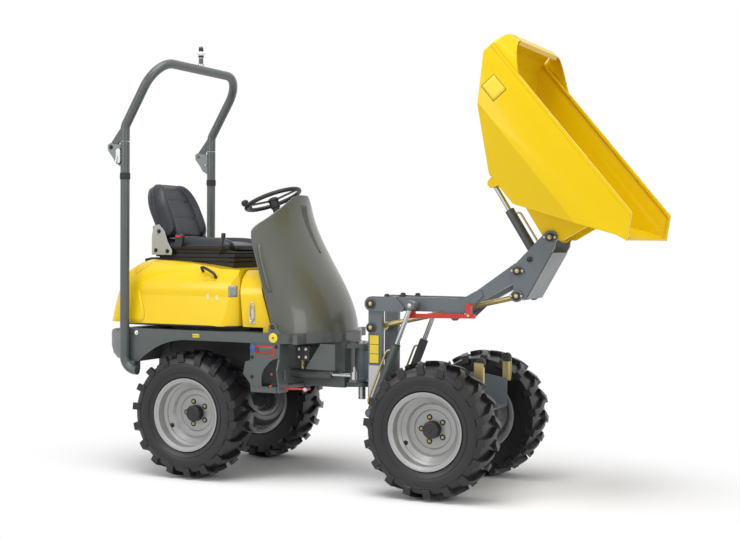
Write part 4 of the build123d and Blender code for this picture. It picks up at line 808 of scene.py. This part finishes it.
# ------------------------------------------------------------------- roll hoop
# Bent steel tube in two parts: posts clamped to the chassis, and a hoop that
# folds back on a pin at each side, between bright plates.
hinge_grey = make_finish("hinge_grey", (0.20, 0.22, 0.23), 0.38, dust=0.12, mottle=0.12, metallic=0.2)
paint(frame_paint, "rops_posts", "rops_hoop")
paint(bare_steel, "beacon_spigot")
fold_plate = [(-0.476, 1.985), (-0.476, 1.856), (-0.522, 1.884), (-0.580, 1.958), (-0.582, 1.990),
              (-0.560, 2.002), (-0.536, 1.996)]
fold_handle = [(-0.506, 1.878), (-0.486, 1.878), (-0.481, 1.890), (-0.481, 1.954), (-0.487, 1.966),
               (-0.505, 1.966), (-0.511, 1.954), (-0.511, 1.890)]
for side, sign in both_sides:
    for name, y in (("outer", 0.5098), ("inner", 0.4770)):
        cut_plate(f"{side}_{name}_fold_plate", "side",
                  fold_plate, sign * y, sign * (y + 0.0035), "rear_frame",
                  hinge_grey)
    drive_bolts(f"{side}_fold_bolts",
                on_face(sign, 0.5133, [(-0.556, 1.976), (-0.492, 1.955), (-0.492, 1.885)], 0.010),
                "rear_frame", black_bolt)
    cut_plate(f"{side}_fold_handle", "side", fold_handle, sign * 0.5220, sign * 0.5300, "rear_frame",
              label_white, 0.003)
    turn_piece(f"{side}_post_collar", [(at(-0.466, sign * 0.495, 1.800), (0, 0, 1), [
        (0.0285, -0.020), (0.0315, -0.018), (0.0315, 0.018), (0.0285, 0.020)])], "rear_frame", black_rubber)
    bend_rod(f"{side}_lock_pin", [at(-0.498, sign * 0.470, 1.920), at(-0.498, sign * 0.530, 1.920),
                                  at(-0.500, sign * 0.540, 1.912), at(-0.502, sign * 0.541, 1.880)], 0.0045,
             "rear_frame", latch_steel)
    drive_bolts(f"{side}_clamp_bolts", on_face(sign, 0.4965, [(-0.418, 0.642), (-0.382, 0.668)], 0.011),
                "rear_frame", black_bolt)
    turn_piece(f"{side}_arch_bolt", on_face(sign, rail_face, [(-0.402, 0.848)], [
        (0.017, 0.0), (0.017, 0.004), (0.012, 0.010), (0.005, 0.012)]), "rear_frame", latch_steel)
for name, z, profile, material in (
        ("beacon_sleeve", 2.526, [(0.0145, 0.0), (0.0145, 0.034), (0.0125, 0.036)], frame_paint),
        ("beacon_ring", 2.566, [(0.0135, 0.0), (0.0180, 0.003), (0.0180, 0.009), (0.0135, 0.012)],
         black_rubber),
        ("beacon_collar", 2.578,
         [(0.0160, 0.0), (0.0220, 0.005), (0.0230, 0.013), (0.0215, 0.021), (0.0160, 0.026)], label_white),
        ("beacon_cap", 2.604, [(0.0150, 0.0), (0.0155, 0.012), (0.0130, 0.026), (0.0070, 0.034)],
         black_rubber)):
    turn_piece(name, [(at(-0.240, 0, z), (0, 0, 1), profile)], "rops", material)

# ---------------------------------------------------------------- front chassis
# Welded mast, base plate and side plates of the front half, with bright wear
# plates low on the mast and black keeper discs over its pins.
mast_paint = make_finish("mast_paint", (0.118, 0.140, 0.158), 0.36, coat=0.25, dust=0.18, mottle=0.2,
                         grain=0.5, grain_scale=260.0, wear=0.3, wear_colour=(0.2, 0.2, 0.2))
paint(mast_paint, "front_chassis")
paint(gold_zinc, "skip_rests")
paint(black_rubber, "rest_buffers")
mast_face = 0.1355


def keeper(radius):
    """The profile of a disc that keeps a pin in."""
    return [(radius, 0.0), (radius, 0.003), (radius - 0.003, 0.005)]


def oblong(x0, z0, x1, z1):
    """An upright oblong's outline."""
    return [(x0, z0), (x1, z0), (x1, z1), (x0, z1)]


for side, sign in both_sides:
    cut_plate(f"{side}_mast_wear_plate", "side", oblong(1.006, 0.500, 1.080, 0.688),
              sign * mast_face, sign * (mast_face + 0.002), "front_frame", bare_steel)
    cut_plate(f"{side}_mast_warning", "side", oblong(1.008, 0.700, 1.072, 0.868),
              sign * mast_face, sign * (mast_face + 0.0012), "front_frame", label_black, 0.0004)
    for k in range(3):
        low = 0.703 + 0.0550 * k
        cut_plate(f"{side}_mast_warning_{k}", "side", oblong(1.011, low, 1.069, low + 0.052),
                  sign * mast_face, sign * (mast_face + 0.0018), "front_frame", label_yellow, 0.0004)
    turn_piece(f"{side}_tie_keeper", on_face(sign, 0.146, [(1.021, 0.910)], keeper(0.027)), "front_frame",
               cap_black)
    drive_bolts(f"{side}_tie_keeper_bolt", on_face(sign, 0.151, [(1.021, 0.910)], 0.009), "front_frame",
                gold_zinc)
    drive_bolts(f"{side}_side_plate_bolts",
                on_face(sign, 0.205, [(1.40, 0.50), (1.52, 0.50), (1.64, 0.50), (1.70, 0.585)], 0.010),
                "front_frame", black_bolt)

# ------------------------------------------------------------------- lift arms
# Boxed arms with thick link plates; rubber stops sit on top, and the red prop
# is pinned under the right arm for work beneath a raised skip.
prop_red = make_finish("prop_red", (0.58, 0.018, 0.014), 0.38, dust=0.1, mottle=0.12, coat=0.15)
paint(mast_paint, "lift_arms")
paint(prop_red, "safety_prop")
for side, sign in both_sides:
    turn_piece(f"{side}_arm_stops", [(at(x, sign * 0.118, 1.093), (0, 0, 1), [
        (0.016, 0.0), (0.016, 0.008), (0.012, 0.014), (0.005, 0.016)]) for x in (1.112, 1.208)],
               "arms", black_rubber)
    turn_piece(f"{side}_arm_keeper", on_face(sign, 0.1575, [(1.025, 1.050)], keeper(0.027)),
               "arms", cap_black)
    drive_bolts(f"{side}_arm_keeper_bolt", on_face(sign, 0.1625, [(1.025, 1.050)], 0.009), "arms", gold_zinc)
turn_piece("prop_pins", on_face(right, 0.140, [(1.290, 1.008), (1.640, 1.000)], [
    (0.007, 0.0), (0.007, 0.037), (0.009, 0.037), (0.009, 0.040)]), "arms", gold_zinc)

# -------------------------------------------------- tie rods, head, cylinders
# The tie rods and the head keep the skip level as the arms lift; cylinders have
# sprayed barrels and hard chromed rods, and bent steel pipes to their ports.
chrome_rod = make_finish("chrome_rod", (0.60, 0.61, 0.62), 0.22, metallic=1.0, dust=0.05, mottle=0.08,
                         grain=0.05)
paint(gold_zinc, "tie_rods")
paint(mast_paint, "tipping_head")
paint(frame_paint, "lift_barrels", "tip_barrel", "steer_barrel")
paint(chrome_rod, "lift_rods", "tip_rod", "steer_rod")
arm_end, skip_end, tie_end, tip_end = (1.922, 1.256), (2.108, 1.444), (1.918, 1.116), (1.992, 1.321)
head_face, keeper_top = 0.1605, 0.168
for k, pin in enumerate((arm_end, skip_end)):
    turn_piece(f"head_keeper_{k}", on_both(keeper_top - 0.005, [pin], keeper(0.024)), "head", cap_black)
    drive_bolts(f"head_keeper_bolt_{k}", on_both(keeper_top, [pin], 0.009), "head", gold_zinc)
turn_piece("tie_pin_bosses", on_both(0.1455, [tie_end], [(0.034, 0.0), (0.034, 0.015)]), "head", mast_paint)
turn_piece("tie_pin_keepers", on_both(head_face, [tie_end], [(0.024, 0.0), (0.024, 0.0055), (0.021, 0.0075)]),
           "head", cap_black)
drive_bolts("tie_pin_bolts", on_both(keeper_top, [tie_end], 0.009), "head", gold_zinc)
turn_piece("tip_foot_caps", on_both(head_face, [tip_end], [(0.015, 0.0), (0.014, 0.005), (0.009, 0.008)]),
           "head", black_bolt)
keeper_bar = ((-0.040, -0.006), (-0.036, -0.010), (0.032, -0.010), (0.036, -0.006), (0.036, 0.006),
              (0.032, 0.010), (-0.036, 0.010), (-0.040, 0.006))
# the fork's corners, back along the rod from its pin and up from its middle
tie_fork = [(tie_end[0] - 0.974 * back - 0.227 * up, tie_end[1] - 0.227 * back + 0.974 * up)
            for back, up in ((0.056, -0.020), (0.020, -0.022), (0.020, 0.016), (0.056, 0.014))]
for side, sign in both_sides:
    for k, (x, z) in enumerate((arm_end, skip_end, tie_end)):
        pin = at(x, 0, z)
        cut_plate(f"{side}_keeper_bar_{k}", "side", [(pin.x - axle_x + dx, pin.z + dz) for dx, dz in keeper_bar],
                  sign * head_face, sign * (head_face + 0.004), "head", black_bolt)
        drive_bolts(f"{side}_keeper_bar_bolts_{k}",
                    on_face(sign, head_face + 0.004, [(x - 0.031, z), (x + 0.029, z)], 0.006),
                    "head", bare_steel)
    cut_plate(f"{side}_tie_fork", "side", tie_fork, sign * 0.058, sign * 0.091, "tie_rods", gold_zinc, 0.003)


def beside(foot, eye, rows):
    """Spots by a cylinder; each row says how far along it from its foot, and how far off its middle."""
    run = (eye - foot).normalized()
    off = Vector((-run.z, 0, run.x))
    return [foot + run * along + off * away for along, away in rows]


bend_rod("tip_pipe", beside(at(1.992, 0, 1.321), at(1.722, 0, 1.751), (
    (0.040, -0.030), (0.045, -0.050), (0.080, -0.050), (0.250, -0.048), (0.285, -0.048), (0.290, -0.027))),
         0.006, "tip_barrel", gold_zinc)
for side, sign in both_sides:
    lift_foot, lift_eye = at(1.055, sign * 0.208, 0.420), at(1.303, sign * 0.208, 1.049)
    bend_rod(f"{side}_lift_pipe", beside(lift_foot, lift_eye, (
        (0.045, 0.024), (0.050, 0.044), (0.090, 0.044), (0.340, 0.044), (0.380, 0.044), (0.385, 0.024))),
             0.006, "lift_barrels", gold_zinc)
    turn_piece(f"{side}_lift_eye_cap",
               on_face(sign, 0.222, [(1.303, 1.049)], [(0.030, -0.003), (0.030, 0.006), (0.027, 0.009)]),
               "lift_rods", mast_paint)
    drive_bolts(f"{side}_lift_eye_bolt", on_face(sign, 0.231, [(1.303, 1.049)], 0.010),
                "lift_rods", latch_steel)
    turn_piece(f"{side}_rod_wiper", [(beside(lift_foot, lift_eye, ((0.430, 0.0),))[0], lift_eye - lift_foot,
                                      [(0.024, 0.0), (0.024, 0.004), (0.019, 0.007)])],
               "lift_barrels", cap_black)
turn_piece("steer_fittings", [(at(x, -0.171, 0.650), (0, 0, 1), [
    (0.012, 0.0), (0.012, 0.020), (0.009, 0.022), (0.009, 0.046), (0.012, 0.048), (0.012, 0.060)])
                              for x in (0.588, 0.642)], "steer_barrel", gold_zinc)

# ------------------------------------------------------------------------ skip
# Pressed and welded yellow tub, scuffed inside by its loads, with a guard over
# its rear rim, gussets to its pivot and blank warning plates on both sides.
skip_yellow = make_finish("skip_yellow", (0.80, 0.545, 0.002), 0.28, specular=0.16, dust=0.05, mottle=0.06,
                          mottle_scale=2.0, grain=0.2, grain_scale=300.0, coat=0.15, wear=0.12,
                          wear_colour=(0.45, 0.30, 0.05))
tip = radians(50)
skip_forward, skip_up = Vector((cos(tip), 0, -sin(tip))), Vector((sin(tip), 0, cos(tip)))
crease, fold, rim = 0.223, 0.400, 0.484
# the tub's side outline from the rear rim round to the front rim
tub_outline = ((-0.947, rim), (-0.945, 0.422), (-0.9243, fold), (-0.758, crease), (-0.745, 0.209),
               (-0.450, -0.002), (-0.236, -0.002), (0.0906, crease), (0.275, 0.350), (0.337, 0.376),
               (0.3157, fold), (0.241, rim))


def in_skip(f, u, y):
    """A point given from the skip's pivot, forward and up along the tipped skip."""
    return at(2.108, y, 1.444) + skip_forward * f + skip_up * u


views["skip"] = (in_skip, False)
views["skip_rear"] = (lambda y, u, f: in_skip(f, u, y), False)


def tub_half(u):
    """Half the tub's width at a height: it tapers below the crease and leans in above the fold."""
    if u < crease:
        return 0.468 - (crease - u) * 0.527
    return 0.468 + (u - crease) * 0.0113 if u < fold else 0.470 - (u - fold) * 0.056


def skip_plate(name, outline, low, high, bevel, view="skip"):
    """A plate welded to the tub."""
    cut_plate(name, view, outline, low, high, "skip", skip_yellow, bevel)


def arc(f, u, radius, degrees):
    """Part of a plate's outline round a pin."""
    return [(f + radius * cos(radians(turn)), u + radius * sin(radians(turn))) for turn in degrees]


count = len(tub_outline)
tub_points = [in_skip(f, u, sign * tub_half(u)) for sign in (right, left) for f, u in tub_outline]
tub_faces = [(k, k + count, k + count + 1, k + 1) for k in range(9)]
for band in ((3, 4, 5, 6, 7), (2, 3, 7, 8, 9, 10), (0, 1, 2, 10, 11)):
    tub_faces += [band, tuple(k + count for k in reversed(band))]
tub = put_mesh("skip_tub", tub_points, tub_faces, "skip", skip_yellow, sharp=50)
give_wall(tub, 0.005, even=True)
pressed = tub.modifiers.new("pressed_edges", "BEVEL")
pressed.width = 0.007
pressed.segments = 3
pressed.limit_method = "ANGLE"
pressed.angle_limit = radians(6)
along_steps, up_steps = 14, 10
for side, sign in both_sides:
    skip_plate(f"{side}_skip_rim", [(-0.945, rim - 0.014), (-0.945, rim + 0.004), (0.238, rim + 0.004),
                                    (0.250, rim - 0.014)], sign * 0.446, sign * 0.4695, 0.004)
    skip_plate(f"{side}_lip_fold", [(0.338, 0.372), (0.3165, fold), (0.244, rim), (0.232, rim), (0.303, fold),
                                    (0.318, 0.372)], sign * 0.444, sign * 0.470, 0.003)
    shoulder_points = []
    for i in range(along_steps + 1):
        for j in range(up_steps + 1):
            a, t = i / along_steps, j / up_steps
            low_f, high_f = -0.946 + 0.240 * a, -0.946 + 0.060 * a
            shoulder_points.append(in_skip(low_f + (high_f - low_f) * (1 - (1 - t) ** 1.9),
                                           rim + (0.092 + 0.012 * a) * sin(pi / 2 * t),
                                           sign * (0.462 - 0.125 * t ** 1.6)))
    shoulder_faces = [quad if sign > 0 else quad[::-1] for quad in net_faces(along_steps, up_steps)]
    shoulder = put_mesh(f"{side}_skip_shoulder", shoulder_points, shoulder_faces, "skip", skip_yellow,
                        smooth=True)
    give_wall(shoulder, 0.004, offset=0.0)
    skip_plate(f"{side}_pivot_gusset", [
        (-0.300, 0.0), (-0.236, 0.002), (-0.100, 0.100), (0.090, 0.230), (0.056, 0.040),
        *arc(0.0, 0.0, 0.032, range(20, -156, -25)), (-0.040, -0.034)], sign * 0.112, sign * 0.134, 0.002)
    skip_plate(f"{side}_tip_ear", [
        (-0.523, 0.060), (-0.423, 0.010), (-0.455, -0.0984),
        *arc(-0.4833, -0.0984, 0.028, range(-30, -151, -30)), (-0.511, -0.0984)],
        sign * 0.0235, sign * 0.0325, 0.0015)
guard_side = [(0.450, rim - 0.006), (0.437, 0.507), (0.410, 0.542), (0.374, 0.565), (0.337, 0.575)]
skip_plate("skip_guard", guard_side + [(-y, u) for y, u in reversed(guard_side)], -0.947, -0.942, 0.0015,
           "skip_rear")
skip_plate("skip_flange", [(-0.947, 0.566), (-0.947, 0.576), (-0.930, 0.586), (-0.885, 0.590),
                          (-0.876, 0.566),
                           (-0.881, 0.565), (-0.889, 0.584), (-0.929, 0.580), (-0.942, 0.572)],
           -0.340, 0.340, 0.0015)
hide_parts("skip")
for side, sign in both_sides:
    middle = at(1.884, sign * 0.5, 2.240)
    for name, half, lift, material in (("edge", 0.056, 0.0006, label_black),
                                        ("face", 0.053, 0.0010, label_yellow)):
        corners = [middle + skip_forward * a * half + skip_up * b * half * 0.85
                   for a, b in ((-1, -1), (1, -1), (1, 1), (-1, 1))]
        lay_on(f"{side}_skip_warning_{name}", "skip", corners, (0, -sign, 0), lift, "skip", material, 6)

# --------------------------------------------------------- valves and lock bar
# Between the steps and the pivot: the steering valve, its pipe unions, a dark guard
# plate, and the red bar that locks the pivot for lifting.
cut_plate("pivot_guard", "side", [(0.773, 0.815), (0.868, 0.815), (0.868, 0.664), (0.676, 0.664),
                                (0.690, 0.690)],
          -0.306, -0.300, "rear_frame", frame_paint)
cut_plate("steering_valve", "side", oblong(0.600, 0.712, 0.690, 0.800), -0.290, -0.215, "rear_frame",
          engine_black, 0.004)
drive_bolts("valve_unions",
            on_face(right, 0.290, [(0.622, 0.732), (0.622, 0.780), (0.668, 0.732), (0.668, 0.780)], 0.008),
            "rear_frame", latch_steel)
cut_plate("pivot_lock_bar", "side", [(0.590, 0.548), (0.760, 0.556), (0.766, 0.561), (0.760, 0.566),
                                   (0.590, 0.558)],
          -0.412, -0.406, "rear_frame", prop_red)
turn_piece("pivot_lock_pin", on_face(right, 0.402, [(0.742, 0.560)], [
    (0.008, 0.0), (0.008, 0.030), (0.011, 0.030), (0.011, 0.036)]), "rear_frame", latch_steel)
